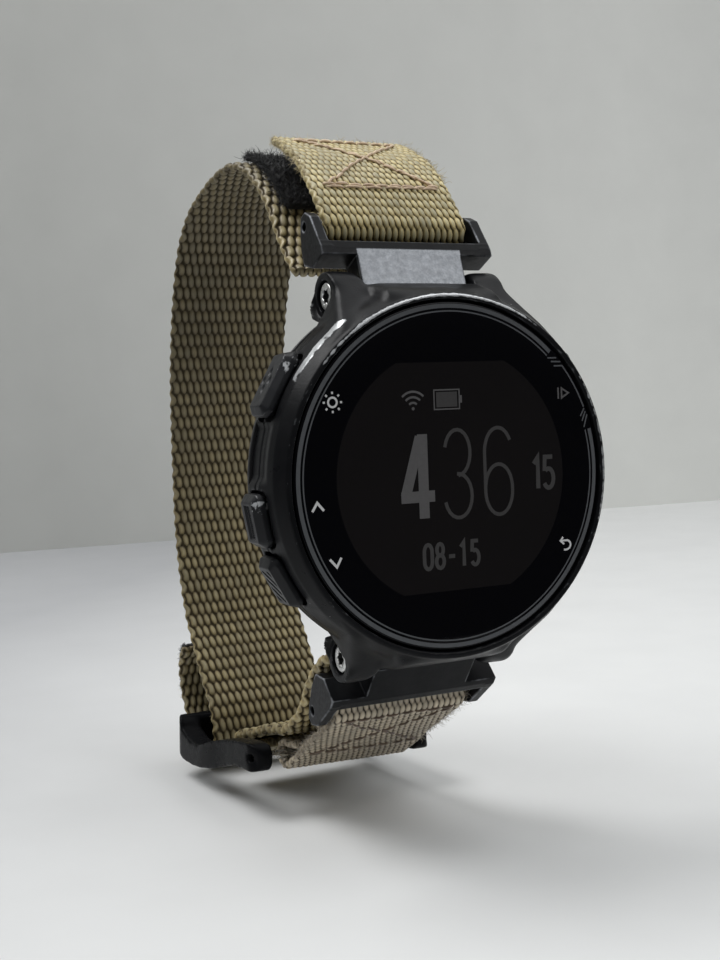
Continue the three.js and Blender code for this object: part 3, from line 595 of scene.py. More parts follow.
def case_points(mesh):
    """Rounds the case off, sweeps the lugs into the wall and cuts the two seam lines round the side."""
    points = round_off(points_of(mesh))
    # the wall flows into the lugs, and the round bosses at their ends keep their shape
    beyond = smoothstep(22.1, 23.2, radius_of(points)) * smoothstep(14.5, 17.0, np.abs(points[:, 2]))
    keep = smoothstep(10.7, 11.0, np.abs(points[:, 0])) * (1 - smoothstep(2.9, 3.5, boss_reach(points)))
    points = relaxed(mesh, points, 34, beyond * (1 - keep))
    boss = boss_reach(points)
    furthest = LUG_OUTER_X + 5 * smoothstep(2.6, 3.8, boss) * (np.abs(points[:, 2]) > 14)
    flat = np.sign(points[:, 0]) * np.minimum(np.abs(points[:, 0]), furthest)
    points[:, 0] = np.where((boss < 3.8) & (points[:, 1] > -8), flat, points[:, 0])
    rear = smoothstep(-4.6, -3.2, points[:, 1]) * smoothstep(22.4, 23.2, radius_of(points))
    points = relaxed(mesh, points, 160, rear * (1 - keep) * smoothstep(13.0, 14.5, np.abs(points[:, 2])))
    front = smoothstep(-4.6, -6.2, points[:, 1]) * smoothstep(22.0, 22.5, radius_of(points))
    points = relaxed(mesh, points, 90, front * smoothstep(16.0, 18.0, np.abs(points[:, 2])))
    # on each side the wall is drawn in between the buttons
    radius = radius_of(points)
    clock = np.mod(np.degrees(np.arctan2(points[:, 2], points[:, 0])), 360)
    waist = smoothstep(160.0, 163.5, clock) * (1 - smoothstep(176.5, 180.5, clock))
    waist += smoothstep(-19.0, -14.5, clock - 360) * (clock > 300)
    waist += (1 - smoothstep(14.5, 19.0, clock)) * (clock < 60)
    cut = 0.55 * waist * smoothstep(-8.6, -6.6, points[:, 1]) * smoothstep(21.9, 22.5, radius)
    wall = smoothstep(22.3, 22.6, radius) * (1 - smoothstep(15.0, 17.5, np.abs(points[:, 2])))
    points[:, [0, 2]] *= (1 - cut / np.maximum(radius, 1))[:, None]
    for y, depth in SEAMS:
        cut = np.exp(-((points[:, 1] - y) / 0.13) ** 2) * depth * wall
        points[:, [0, 2]] *= (1 - cut / np.maximum(radius, 1))[:, None]
    return points


def case_rub_and_highlight(points):
    """Where the coating is rubbed off on the crest of the bezel, mostly near the top, and a streak on its
    shoulder that is partly rubbed paint and partly a painted highlight.
    """
    radius = radius_of(points)
    turn = np.degrees(np.arctan2(points[:, 2], points[:, 0]))
    crest = np.exp(-((radius - CREST_R) / 0.26) ** 2) * smoothstep(-11.25, -11.5, points[:, 1])
    top = smoothstep(40, 75, turn) * (1 - smoothstep(120, 160, turn))
    side = 0.45 * smoothstep(-40, -10, turn) * (1 - smoothstep(25, 45, turn))
    # the shoulder streak: partly rubbed paint, partly a painted highlight of the lamp along the ridge
    shoulder = np.exp(-((radius - SHOULDER_R) / 0.34) ** 2) * smoothstep(-8.4, -8.9, points[:, 1])
    shoulder *= smoothstep(121, 127, turn) * (1 - smoothstep(145, 153, turn))
    return np.maximum(crest * (0.24 + 0.70 * top + side), 0.86 * shoulder)


def make_case():
    mesh = fine_copy("front_case", 0.15, 3)
    move_points(mesh, case_points(mesh))
    # rubbed paint on the crest, and rubbed paint under a painted highlight on the shoulder
    set_values(mesh, "rub_and_highlight", case_rub_and_highlight(points_of(mesh)))
    mark_edges(mesh)
    piece("case_shell", mesh, CASE, "case", ["front_case"])
    cover = fine_copy("rear_cover", 0.15, 3)
    move_points(cover, round_off(points_of(cover)))
    piece("back_cover", cover, COVER, "case", ["rear_cover"])


def make_lens():
    low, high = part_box("lens")
    front, back, rim = low.y / MM, high.y / MM, high.x / MM
    bevel = [(rim - 0.3 + 0.3 * math.sin(t), front + 0.3 - 0.3 * math.cos(t))
             for t in np.linspace(0, math.pi / 2, 7)]
    profile = [(r, front) for r in (0.0, 5.0, 12.0, 18.0)] + bevel + [(rim, back), (0.0, back)]
    mesh = closed(mesh_of("lens_face", *turned(profile)))
    piece("lens_face", mesh, GLASS, "case", ["lens"])


# ---- what is printed on the lens or shown on the display ----
PRINT_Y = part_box("lens")[0].y / MM


def ribbon(strokes, width):
    """Flat strokes on the lens: each is a list of (x, z) points, closed if its ends meet."""
    points, quads = [], []
    for number, stroke in enumerate(strokes):
        line = np.asarray(stroke, float)
        closed = np.linalg.norm(line[0] - line[-1]) < 1e-6
        if closed:
            line = line[:-1]
        before = line - np.roll(line, 1, 0)
        after = np.roll(line, -1, 0) - line
        if not closed:
            before[0], after[-1] = after[0], before[-1]
        before, after = (np.stack([-d[:, 1], d[:, 0]], 1) / np.linalg.norm(d, axis=1, keepdims=True)
                         for d in (before, after))
        aside = before + after
        aside /= np.linalg.norm(aside, axis=1, keepdims=True)
        mitre = np.maximum(np.einsum("ij,ij->i", aside, after), 0.4)
        aside *= (width / 2 / mitre)[:, None]
        first, n = len(points), len(line)
        rise = 0.012 + 0.002 * number
        for p, a in zip(line, aside):
            for side, y in ((1, 0.002), (-1, 0.002), (-1, -rise), (1, -rise)):
                points.append((p[0] + side * a[0], PRINT_Y + y, p[1] + side * a[1]))
        for i in range(n if closed else n - 1):
            for k in range(4):
                a, b = first + 4 * i + k, first + 4 * i + (k + 1) % 4
                c, d = first + 4 * ((i + 1) % n) + (k + 1) % 4, first + 4 * ((i + 1) % n) + k
                quads.append((a, b, c, d))
        if not closed:
            last = first + 4 * (n - 1)
            quads += [(first + 3, first + 2, first + 1, first), (last, last + 1, last + 2, last + 3)]
    return points, quads


def curve(cx, cz, rx, rz, start, end, steps=16):
    """Points of an elliptical arc on the dial, by angle in degrees."""
    turns = np.radians(np.linspace(start, end, steps + 1))
    return [(cx + rx * math.cos(t), cz + rz * math.sin(t)) for t in turns]


def symbol(name, strokes, width, ink):
    mesh = mesh_of(name, *ribbon(strokes, width))
    mesh.shade_flat()
    piece(name, mesh, ink, "case")


# strokes of the numerals in a box 1 wide and 1 high
GLYPHS = {
    "0": [curve(0.5, 0.7, 0.5, 0.3, 0, 180) + curve(0.5, 0.3, 0.5, 0.3, 180, 360) + [(1.0, 0.7)]],
    "1": [[(0.12, 0.80), (0.55, 1.0), (0.55, 0.0)]],
    "3": [curve(0.5, 0.74, 0.47, 0.26, 165, -88), curve(0.5, 0.25, 0.5, 0.25, 94, -165)],
    "4": [[(0.66, 0.97), (0.08, 0.27)], [(-0.08, 0.26), (1.14, 0.26)], [(0.74, 1.0), (0.74, 0.0)]],
    "5": [[(0.92, 1.0), (0.14, 1.0), (0.08, 0.55)], curve(0.48, 0.31, 0.5, 0.31, 128, -150)],
    "6": [curve(0.5, 0.72, 0.47, 0.28, 28, 180) + curve(0.5, 0.28, 0.47, 0.28, 180, 360),
          curve(0.5, 0.30, 0.47, 0.28, -4, 184)],
    "8": [curve(0.5, 0.76, 0.42, 0.24, -90, 270), curve(0.5, 0.27, 0.5, 0.27, 90, 450)],
    "-": [[(0.1, 0.45), (0.9, 0.45)]],
}


def numeral(name, glyph, x0, z0, wide, high, width, ink):
    strokes = [[(x0 + u * wide, z0 + v * high) for u, v in stroke] for stroke in GLYPHS[glyph]]
    symbol(name, strokes, width, ink)


def make_numerals():
    numeral("hour_digit", "4", -7.0, -4.75, 3.7, 10.0, 1.35, DIGIT_BOLD)
    numeral("minute_digit_1", "3", -1.4, -5.0, 3.75, 10.6, 0.44, DIGIT_DARK)
    numeral("minute_digit_2", "6", 4.15, -5.0, 4.1, 10.6, 0.44, DIGIT_DARK)
    numeral("second_digit_1", "1", 11.15, -2.2, 1.35, 3.85, 0.62, DIGIT_DARK)
    numeral("second_digit_2", "5", 12.75, -2.2, 1.45, 3.85, 0.56, DIGIT_DARK)
    for i, glyph in enumerate("08-15"):
        numeral(f"date_digit_{i + 1}", glyph, -4.5 + 1.62 * i, -10.85, 1.05, 2.9, 0.48, DIGIT_DARK)


def make_icons():
    """The marks for each button, the battery sign and the radio sign."""
    sun = [curve(-15.7, 9.4, 0.55, 0.55, 0, 360)]
    for i in range(8):
        t = math.radians(45 * i)
        sun.append([(-15.7 + r * math.cos(t), 9.4 + r * math.sin(t)) for r in (0.95, 1.22)])
    symbol("icon_light", sun, 0.24, ICON_INK)
    symbol("icon_up", [[(-18.75, -2.95), (-18.1, -1.95), (-17.3, -2.9)]], 0.3, ICON_INK)
    symbol("icon_down", [[(-16.8, -8.55), (-15.95, -9.5), (-15.35, -8.45)]], 0.3, ICON_INK)
    symbol("icon_run", [[(15.25, 10.2), (15.25, 8.8)]], 0.22, DIGIT_BOLD)
    symbol("icon_run_arrow", [[(15.75, 10.1), (15.75, 8.9), (16.75, 9.5), (15.75, 10.1)]], 0.22, DIGIT_BOLD)
    back = curve(15.7, -9.55, 0.75, 0.62, 60, -110)
    symbol("icon_back", [back, [(15.35, -8.55), (14.95, -9.0), (15.5, -9.45)], [(15.0, -9.0), (16.1, -9.0)]],
           0.24, ICON_INK)
    waves = [curve(-5.3, 8.3, r, r, 45, 135) for r in (0.7, 1.35, 2.0)]
    symbol("sign_radio", waves, 0.26, DIGIT_BOLD)
    symbol("sign_radio_dot", [curve(-5.3, 8.3, 0.1, 0.1, 0, 360, 8)], 0.2, DIGIT_BOLD)
    frame_line = [(-2.45, 8.1), (1.0, 8.1), (1.0, 10.4), (-2.45, 10.4), (-2.45, 8.1)]
    symbol("sign_battery_outline", [frame_line], 0.16, DIGIT_BOLD)
    symbol("sign_battery_level", [[(-2.15, 9.25), (0.70, 9.25)]], 1.8, DIGIT_DARK)
    symbol("sign_battery_tip", [[(1.1, 9.25), (1.36, 9.25)]], 0.9, DIGIT_BOLD)


def make_rings():
    """The printed border of the lens, broken at the upper right by the start mark."""
    for name, radius, width in (("border_ring", BORDER_R, 0.50), ("border_line", BORDER_LINE_R, 0.17)):
        symbol(name, [curve(0, 0, radius, radius, 46, 374, 150)], width, RING_INK)
    marks = [
        [(13.8, 13.9), (15.1, 13.9)], [(14.3, 13.45), (15.7, 13.4)], [(14.7, 12.9), (16.0, 12.9)],
        [(19.1, 7.5), (18.5, 6.5)], [(19.25, 7.1), (18.75, 5.9)], [(19.5, 6.7), (19.0, 5.1)],
        curve(0, 0, 20.5, 20.5, 39, 22, 10),
    ]
    symbol("start_mark", marks, 0.18, RING_INK)


# ---- buttons ----
def slot_depth(name, u, v):
    """How deep the face of a button is cut at u along the wall and v across it, in millimetres."""
    if name == "light":
        rays = [(0.0, 0.95, 0.42), (-1.1, 0.1, 0.36), (1.1, 0.1, 0.36), (0.0, -0.75, 0.42)]
        return 0.16 * np.clip(sum(np.exp(-(((u - a) / 0.55) ** 2 + ((v - b) / w) ** 2) ** 2)
                                  for a, b, w in rays), 0, 1)
    if name == "down":
        lines = np.clip(1.6 * np.cos(2 * math.pi * (u + 0.75 * v) / 1.25) - 0.35, 0, 1)
        field = (1 - smoothstep(1.9, 2.2, np.abs(u))) * (1 - smoothstep(0.95, 1.2, np.abs(v)))
        return 0.38 * lines * field
    field = (1 - smoothstep(1.95, 2.05, np.abs(u))) * (1 - smoothstep(0.80, 0.90, np.abs(v)))
    return field * (0.26 + 0.12 * np.cos(2 * math.pi * v / 0.54))


def make_buttons():
    for name, clock in BUTTONS.items():
        mesh = fine_copy(f"button_{name}", 0.065, 4)
        points = points_of(mesh)
        turn = math.radians(clock)
        out = np.array([math.cos(turn), 0, math.sin(turn)])
        along = np.array([-math.sin(turn), 0, math.cos(turn)])
        u, v = points @ along, points[:, 1] - BUTTON_Y
        worn = np.zeros(len(points))
        if name in WORN_CORNERS:
            corner = WORN_CORNERS[name]
            worn = 1.4 * np.exp(-((u - corner) / 0.75) ** 2 - ((v + 2.15) / 0.55) ** 2)
        mark_edges(mesh, extra=worn)
        face = smoothstep(BUTTON_FACE_R - 0.3, BUTTON_FACE_R - 0.1, points @ out)
        move_points(mesh, points - np.outer(slot_depth(name, u, v) * face, out))
        piece(f"{name}_button", mesh, BUTTON, f"button_{name}", [f"button_{name}"])


# ---- screws, pins and bars ----
def screw_mesh(name, side, z):
    """A lug screw: a dished steel head with a deep six-lobe socket, facing out of one side of the case."""
    segments = 96
    turns = np.arange(segments) * 2 * math.pi / segments
    lobes = 0.86 + 0.14 * np.cos(6 * turns)
    # radius, distance out from the head's underside, and whether the ring follows the lobes
    rings = [
        (0.0, 0.05, 0), (0.45, 0.05, 0), (0.90, 0.05, 1), (0.96, 0.10, 1), (0.98, 0.62, 1), (1.03, 0.70, 1),
        (1.25, 0.72, 0), (1.50, 0.72, 0), (1.62, 0.67, 0), (1.70, 0.56, 0), (1.72, 0.42, 0), (1.72, 0.0, 0),
        (0.55, 0.0, 0), (0.55, -2.6, 0), (0.0, -2.6, 0),
    ]
    points = []
    for radius, out, lobed in rings:
        reach = radius * (lobes if lobed else 1) * np.ones(segments)
        points.append(np.stack([np.full(segments, side * (SCREW_X + out)), LUG_Y + reach * np.cos(turns),
                                z + reach * np.sin(turns)], 1))
    return closed(mesh_of(name, np.concatenate(points), ring_faces(len(rings), segments)))


def closed(mesh):
    """Joins points that meet on the axis and turns the faces outwards."""
    tidy = bmesh.new()
    tidy.from_mesh(mesh)
    bmesh.ops.remove_doubles(tidy, verts=tidy.verts, dist=1e-8)
    bmesh.ops.recalc_face_normals(tidy, faces=tidy.faces)
    tidy.to_mesh(mesh)
    tidy.free()
    return mesh


def make_fasteners():
    for end, z in (("top", LUG_Z), ("bottom", -LUG_Z)):
        for side_name, side in (("left", -1), ("right", 1)):
            name = f"lug_screw_{end}_{side_name}"
            piece(f"{name}_head", screw_mesh(name, side, z), SCREW, "case", [name])
    for i in range(1, 5):
        name = f"cover_screw_{i}"
        piece(f"{name}_head", fine_copy(name, 0.06, 3), STEEL, "case", [name])
        name = f"charge_contact_{i}"
        piece(f"{name}_pad", fine_copy(name, 0.06, 4), GOLD, "case", [name])
    for end in ("top", "bottom"):
        name = f"spring_bar_{end}"
        piece(f"{name}_rod", fine_copy(name, 0.1, 3), STEEL, f"{end}_adapter", [name])
    piece("buckle_pin_rod", fine_copy("buckle_pin", 0.1, 3), STEEL, "buckle", ["buckle_pin"])


# ---- strap adapters and buckle ----
def make_adapters():
    """Both adapters, the tongue of the upper one worn bare, and their arms slimmer beside the webbing."""
    for end, s, tilt in (("top", 1, 17.5), ("bottom", -1, 36)):
        mesh = fine_copy(f"strap_adapter_{end}", 0.10, 2)
        points = points_of(mesh)
        turn = math.radians(tilt)
        y = points[:, 1] + 2.9
        z = s * points[:, 2] - LUG_Z
        out = y * math.sin(turn) + z * math.cos(turn)
        back = y * math.cos(turn) - z * math.sin(turn)
        tongue = (1 - smoothstep(7.32, 7.36, np.abs(points[:, 0]))) * (1 - smoothstep(5.9, 6.0, out))
        bare = tongue * (1 - smoothstep(-0.45, -0.3, back)) if s > 0 else np.zeros(len(points))
        set_values(mesh, "bare", bare)
        beside = np.abs(points[:, 0])
        slimmer = 0.35 * (beside > 10.1) * (1 - smoothstep(10.5, 11.6, beside)) * smoothstep(6.2, 6.8, out)
        points[:, 0] += np.sign(points[:, 0]) * slimmer
        move_points(mesh, points)
        mark_edges(mesh)
        piece(f"adapter_{end}", mesh, ADAPTER, f"{end}_adapter", [f"strap_adapter_{end}"])


def buckle_points(points):
    """Rounds the buckle's rear corners wider, deepens its rails and narrows the mouths of the pin's holes."""
    place = np.array(Vector((BUCKLE_SHIFT, *BUCKLE_PIN)))
    turn = np.array(Matrix.Rotation(BUCKLE_YAW, 3, "Z") @ Matrix.Rotation(BUCKLE_ROLL, 3, "Y"))
    own = (points - place) @ turn
    aside, behind = np.abs(own[:, 0]), own[:, 1]
    # each rear corner is rounded about a centre, to a wider radius
    middle_x, middle_y, round_r, most_r = 10.0, 24.6, 4.8, 5.7
    across, back = aside - middle_x, behind - middle_y
    corner = (across > 0) & (back > 0)
    reach = np.hypot(across, back)
    edge = np.minimum(round_r * reach / np.maximum(np.maximum(across, back), 0.01), most_r)
    shrink = 1 - (1 - round_r / edge) * smoothstep(1.0, 3.5, reach)
    moved = own.copy()
    moved[:, 0] = np.where(corner, np.sign(own[:, 0]) * (middle_x + across * shrink), own[:, 0])
    moved[:, 1] = np.where(corner, middle_y + back * shrink, behind)
    moved[:, 0] *= 1 + 0.035 * smoothstep(12.0, 14.8, aside) * smoothstep(8.0, 18.0, behind)
    moved[:, 1] *= 1 + 0.03 * smoothstep(10.0, 29.0, behind)
    rail = smoothstep(11.4, 11.9, aside) * smoothstep(-0.8, -3.2, own[:, 2])
    moved[:, 2] -= 1.3 * rail * smoothstep(3.0, 15.0, behind) * (1 - smoothstep(24.5, 29.4, behind))
    # the holes for the pin are narrowed at their mouths
    out = np.hypot(behind, own[:, 2])
    closer = 0.40 * (1 - smoothstep(1.05, 1.9, out)) * smoothstep(13.9, 14.1, aside)
    moved[:, 1:] *= (1 - closer / np.maximum(out, 0.5))[:, None]
    return moved @ turn.T + place


def make_buckle():
    mesh = fine_copy("buckle_frame", 0.16, 10)
    move_points(mesh, buckle_points(points_of(mesh)))
    piece("buckle_loop", mesh, BUCKLE, "buckle", ["buckle_frame"])


# ---- webbing ----
def between(p, q, start, end, t):
    """From p at start to q at end, in a straight line."""
    return (end - t) / (end - start) * p + (t - start) / (end - start) * q


def smooth_route(route):
    """A centripetal Catmull-Rom curve through a route's points."""
    p = np.asarray(route, float)
    p = np.vstack([2 * p[0] - p[1], p, 2 * p[-1] - p[-2]])
    found = []
    for a, b, c, d in zip(p, p[1:], p[2:], p[3:]):
        t1 = np.linalg.norm(b - a) ** 0.5
        t2 = t1 + np.linalg.norm(c - b) ** 0.5
        t3 = t2 + np.linalg.norm(d - c) ** 0.5
        t = np.linspace(t1, t2, 30, endpoint=False)[:, None]
        bc = between(b, c, t1, t2, t)
        before = between(between(a, b, 0, t1, t), bc, 0, t2, t)
        after = between(bc, between(c, d, t2, t3, t), t1, t3, t)
        found.append(between(before, after, t1, t2, t))
    return np.vstack([*found, p[-2]])


def read_off(places, reach, values):
    """The x, y and z of a line of values at places along it."""
    return np.stack([np.interp(places, reach, values[:, i]) for i in range(3)], -1)


def track(route, step, side=1.0, start=0.0, end=1.0, aside=0.0):
    """Even places along a route, each with its distance and the direction out of one face of the band."""
    line = smooth_route(route)
    reach = np.concatenate([[0], np.cumsum(np.linalg.norm(np.diff(line, axis=0), axis=1))])
    places = np.linspace(start * reach[-1], end * reach[-1], max(8, round((end - start) * reach[-1] / step)))
    at = read_off(places, reach, line)
    along = np.gradient(at, axis=0)
    out = np.stack([np.zeros(len(at)), -along[:, 2], along[:, 1]], 1) * side
    out /= np.linalg.norm(out, axis=1, keepdims=True)
    return {"s": places - places[0], "at": at + out * aside, "out": out}


def on_track(band, s, v, lift):
    """Points at distances s and offsets v on a band, lifted off its middle."""
    at = read_off(s, band["s"], band["at"])
    at[..., 0] += v
    return at + read_off(s, band["s"], band["out"]) * np.asarray(lift, float)[..., None]


def woven(s, v, weave, seed):
    """Plain weave: the height and the tint of long knots in columns, every other column half a knot on."""
    rng = np.random.default_rng(seed)
    chance = rng.random((97, 211))
    height = np.zeros(s.shape)
    tint = np.zeros(s.shape)
    yarn, pitch, fill = weave
    low = np.floor(v / yarn - 0.5)
    for column in (low, low + 1):
        middle = (column + 0.5) * yarn
        shift = 0.5 * np.mod(column, 2)
        nearest = np.round(s / pitch - shift)
        pick = chance[np.mod(column, 97).astype(int), np.mod(nearest, 211).astype(int)]
        ds = (s - (nearest + shift) * pitch) / (0.285 * pitch * fill * (0.92 + 0.16 * pick))
        dv = (v - middle - 0.22 * yarn * ds) / (0.88 * yarn * fill)
        knot = np.sqrt(np.clip(1 - ds * ds - dv * dv, 0, 1)) * (0.80 + 0.20 * pick)
        tint = np.where(knot > height, pick, tint)
        height = np.maximum(height, knot)
    return height, tint


def around(upper, lower):
    """Rows that go over the upper face of a band and back under the lower one."""
    return np.concatenate([upper, lower[:, -2:0:-1]], 1)


def webbing(name, band, half, look, body, replaces, seed, weave, knot, core=WEB_CORE, bend=None):
    """A closed band of woven webbing along a track, with real knots on both faces and looped edges."""
    yarn, pitch, _ = weave
    s = band["s"]
    count = round(2 * half / min(0.1, yarn / 4))
    v = np.linspace(-half, half, count + 1)
    grid_s, grid_v = np.meshgrid(s, v, indexing="ij")
    rim = np.clip((np.abs(v) - (half - 0.55)) / 0.55, 0, 1)
    thick = np.sqrt(1 - rim ** 2)
    outer = smoothstep(half - 1.2, half - 0.7, np.abs(v))
    rng = np.random.default_rng(seed)
    wander = np.interp(s, np.linspace(0, s[-1], 12), rng.normal(0, 0.10, 12))
    sides = []
    for side, offset in ((1, 0.0), (-1, pitch / 2)):
        height, tint = woven(grid_s + offset, grid_v, weave, seed + side)
        loop = np.sin(2 * math.pi * (grid_s + offset) / pitch) ** 2
        lift = side * (core + knot * height) * thick
        at = band["at"][:, None, :] + band["out"][:, None, :] * lift[:, :, None]
        at[:, :, 0] += grid_v * (1 - (0.20 - 0.065 * pitch * loop * outer) / half) + wander[:, None]
        sides.append((at, height * thick + (0.40 + 0.45 * loop) * (1 - thick), tint))
    ring, height, tint = (around(*pair) for pair in zip(*sides))
    cloth = np.stack([around(grid_v, grid_v), around(grid_s, grid_s), np.zeros(ring.shape[:2])], 2)
    rows, n = ring.shape[:2]
    caps = []
    for row, step in ((0, 1), (rows - 1, -1)):
        for k in range(count):
            corners = dict.fromkeys(row * n + c for c in (k, (n - k) % n, n - k - 1, k + 1))
            caps.append(list(corners)[::step])
    points = ring.reshape(-1, 3)
    mesh = mesh_of(name, bend(points) if bend else points, ring_faces(rows, n),
                   [c for c in caps if len(c) == 4], [c for c in caps if len(c) == 3])
    set_values(mesh, "height", height)
    set_values(mesh, "tint", tint)
    set_values(mesh, "cloth", cloth, "FLOAT_VECTOR", "vector")
    piece(name, mesh, look, body, replaces)


def sewn(name, band, lines, lift, look, body, pitch, radius, seed, bend=None):
    """Rows of stitches, each thread arching out of the webbing and back into it."""
    rng = np.random.default_rng(seed)
    paths = []
    t = np.linspace(0, 1, 9)
    for (s0, v0), (s1, v1) in lines:
        count = max(1, round(math.hypot(s1 - s0, v1 - v0) / pitch))
        for i in range(count):
            f = (i + 0.06 + 0.88 * t) / count
            s = s0 + (s1 - s0) * f + rng.normal(0, 0.11)
            v = v0 + (v1 - v0) * f + rng.normal(0, 0.08)
            paths.append(on_track(band, s, v, lift + 0.24 * np.sin(math.pi * t) ** 0.5 - 0.12))
    paths = np.array(paths)
    if bend:
        paths = bend(paths.reshape(-1, 3)).reshape(paths.shape)
    radii = radius * np.sin(math.pi * (0.12 + 0.76 * t)) ** 0.3
    piece(name, strands(name, paths, radii, 6, seed), look, body)


def frayed(name, roots, lean, length, look, body, seed, radius, spread):
    """Loose fibres that start at roots and lean one way, each bent its own way."""
    rng = np.random.default_rng(seed)
    count = len(roots)
    lean = np.broadcast_to(lean, (count, 3)) + rng.normal(0, spread, (count, 3))
    lean /= np.linalg.norm(lean, axis=1, keepdims=True)
    reach = length * rng.uniform(0.35, 1.0, (count, 1, 1))
    t = np.linspace(0, 1, 6)
    along = t[None, :, None]
    curl = rng.normal(0, 0.45, (count, 1, 3)) * along ** 2
    curl = curl + rng.normal(0, 0.12, (count, 1, 3)) * np.sin(6 * along)
    paths = roots[:, None] + reach * (lean[:, None] * along + curl)
    mesh = strands(name, paths, radius * (1 - 0.6 * t), 3, seed)
    piece(name, mesh, look, body)


def fuzz(name, band, where, count, lean, length, look, body, seed, radius, spread, bend=None):
    """Loose fibres on part of a band: where holds the range of distance, of offset and of lift."""
    rng = np.random.default_rng(seed)
    roots = on_track(band, *(rng.uniform(*limits, count) for limits in where))
    frayed(name, bend(roots) if bend else roots, lean, length, look, body, seed + 1, radius, spread)


def make_long_strap():
    band = track(LONG_ROUTE, 0.2)
    webbing("strap_long", band, STRAP_HALF, KHAKI, "long_strap", ["long_strap"], 11, COARSE, 0.36)
    for name, side, edge, seed in (("left", -1, (-10.0, -9.7), 12), ("right", 1, (9.7, 10.0), 14)):
        fuzz(f"strap_long_fuzz_{name}", band, ((0, band["s"][-1]), edge, (-0.4, 0.4)), 110, (side, 0, 0), 0.5,
             FUZZ, "long_strap", seed, 0.018, 0.8)


def make_fold():
    """The loop sewn round the upper bar, with its cut end, box stitch and row of stitches."""
    band = track(FOLD_ROUTE, 0.2, side=-1.0)
    webbing("strap_fold", band, STRAP_HALF + 0.3, LIT_WEBBING, "long_strap", ["bar_loop_top"], 21, MEDIUM, 0.32)
    lift = WEB_CORE + 0.28
    first, last = 2.2, 17.2           # the box stitch, as distances from the cut end
    box = [((first, -7.6), (last, 7.8)), ((first, 7.8), (last, -7.6)), ((2.0, -7.6), (2.0, 7.8)),
           ((last, -8.6), (last, 8.6))]
    sewn("strap_fold_stitches", band, box, lift, STITCH, "long_strap", 2.0, 0.21, 5)
    again = [((last + 0.45, -8.3), (last + 0.35, 8.4)), ((2.5, -7.4), (last, 7.5))]
    sewn("strap_fold_stitches_again", band, again, lift, STITCH, "long_strap", 2.6, 0.17, 27)
    fuzz("strap_fold_fray", band, ((0, 0.35), (-10, 10), (-0.5, 0.5)), 700, (0, 0.75, 0.35), 0.8,
         FUZZ, "long_strap", 22, 0.04, 0.6)
    for side, seed in ((-1, 24), (1, 26)):
        edge = sorted((side * 9.6, side * 10.1))
        fuzz(f"strap_fold_fuzz_{seed}", band, ((0, 15), edge, (-0.5, 0.6)), 260, (side, 0.1, 0.25), 0.9,
             FUZZ, "long_strap", seed, 0.045, 0.8)


def pile(name, band, half, lift, count, length, body, replaces, seed, base):
    """Hook or loop tape: a woven base under a dense pile of short hooked fibres."""
    webbing(name, band, half, PILE, body, replaces, seed, COARSE, 0.10, base)
    rng = np.random.default_rng(seed)
    s = rng.uniform(0, band["s"][-1], count)
    v = rng.uniform(-half, half, count)
    roots = on_track(band, s, v, lift)
    lean = read_off(s, band["s"], band["out"])
    frayed(f"{name}_pile", roots, lean, length, PILE, body, seed + 1, 0.055, 0.75)
    few = count // 4
    ends = on_track(band, rng.uniform(0, band["s"][-1], few), rng.uniform(-half, -half + 0.3, few),
                    rng.uniform(-0.2, 0.7, few))
    frayed(f"{name}_edge", ends, (-0.9, 0, 0.3), length, PILE, body, seed + 2, 0.05, 0.6)


def make_hook_tapes():
    route = [(-1.0, y, z) for _, y, z in LONG_ROUTE[1:7]]
    band = track(route, 0.3, aside=1.22, start=0.34, end=0.97)
    pile("hook_tape", band, 9.5, 0.4, 4200, 0.95, "long_strap", ["hook_tape_top"], 31, 0.36)
    tail = track(LONG_ROUTE[26:], 0.3, side=-1.0, aside=1.0, start=0.3, end=0.97)
    pile("tail_patch", tail, 9.2, 0.2, 1500, 0.5, "long_strap", ["hook_patch_tail"], 34, 0.22)


def make_short_strap():
    """The webbing from the case to the buckle, with its end turned under."""
    band = track(SHORT_ROUTE + HEM_ROUTE, 0.2)
    webbing("strap_short", band, STRAP_HALF, KHAKI, "short_strap", ["short_strap"], 41, COARSE, 0.42, 0.45)
    turn = band["s"][-1] - 9.5
    where = ((turn - 1.0, turn + 1.5), (-10, 10), (0.4, 0.6))
    fuzz("strap_short_fray", band, where, 260, (0, 0.9, -0.1), 0.7, FUZZ, "short_strap", 42, 0.03, 0.5)


def follow_buckle(points):
    """Towards the buckle the loop turns with the buckle's pin."""
    along = np.array([BUCKLE_PIN[0] - LOW_BAR[0], BUCKLE_PIN[1] - LOW_BAR[1]])
    share = np.clip(((points[:, 1:] - LOW_BAR) @ along) / (along @ along), 0, 1)
    side = (points[:, 0] - BUCKLE_SHIFT) * share
    moved = points.copy()
    moved[:, 1] += side * math.tan(BUCKLE_YAW)
    moved[:, 2] -= side * math.tan(BUCKLE_ROLL)
    return moved


def eye(middle, start, end):
    """Eight places round a bar, for a band that turns about it."""
    turns = np.radians(np.linspace(start, end, 8))
    return [(middle + EYE_R * math.cos(t), EYE_R * math.sin(t)) for t in turns]


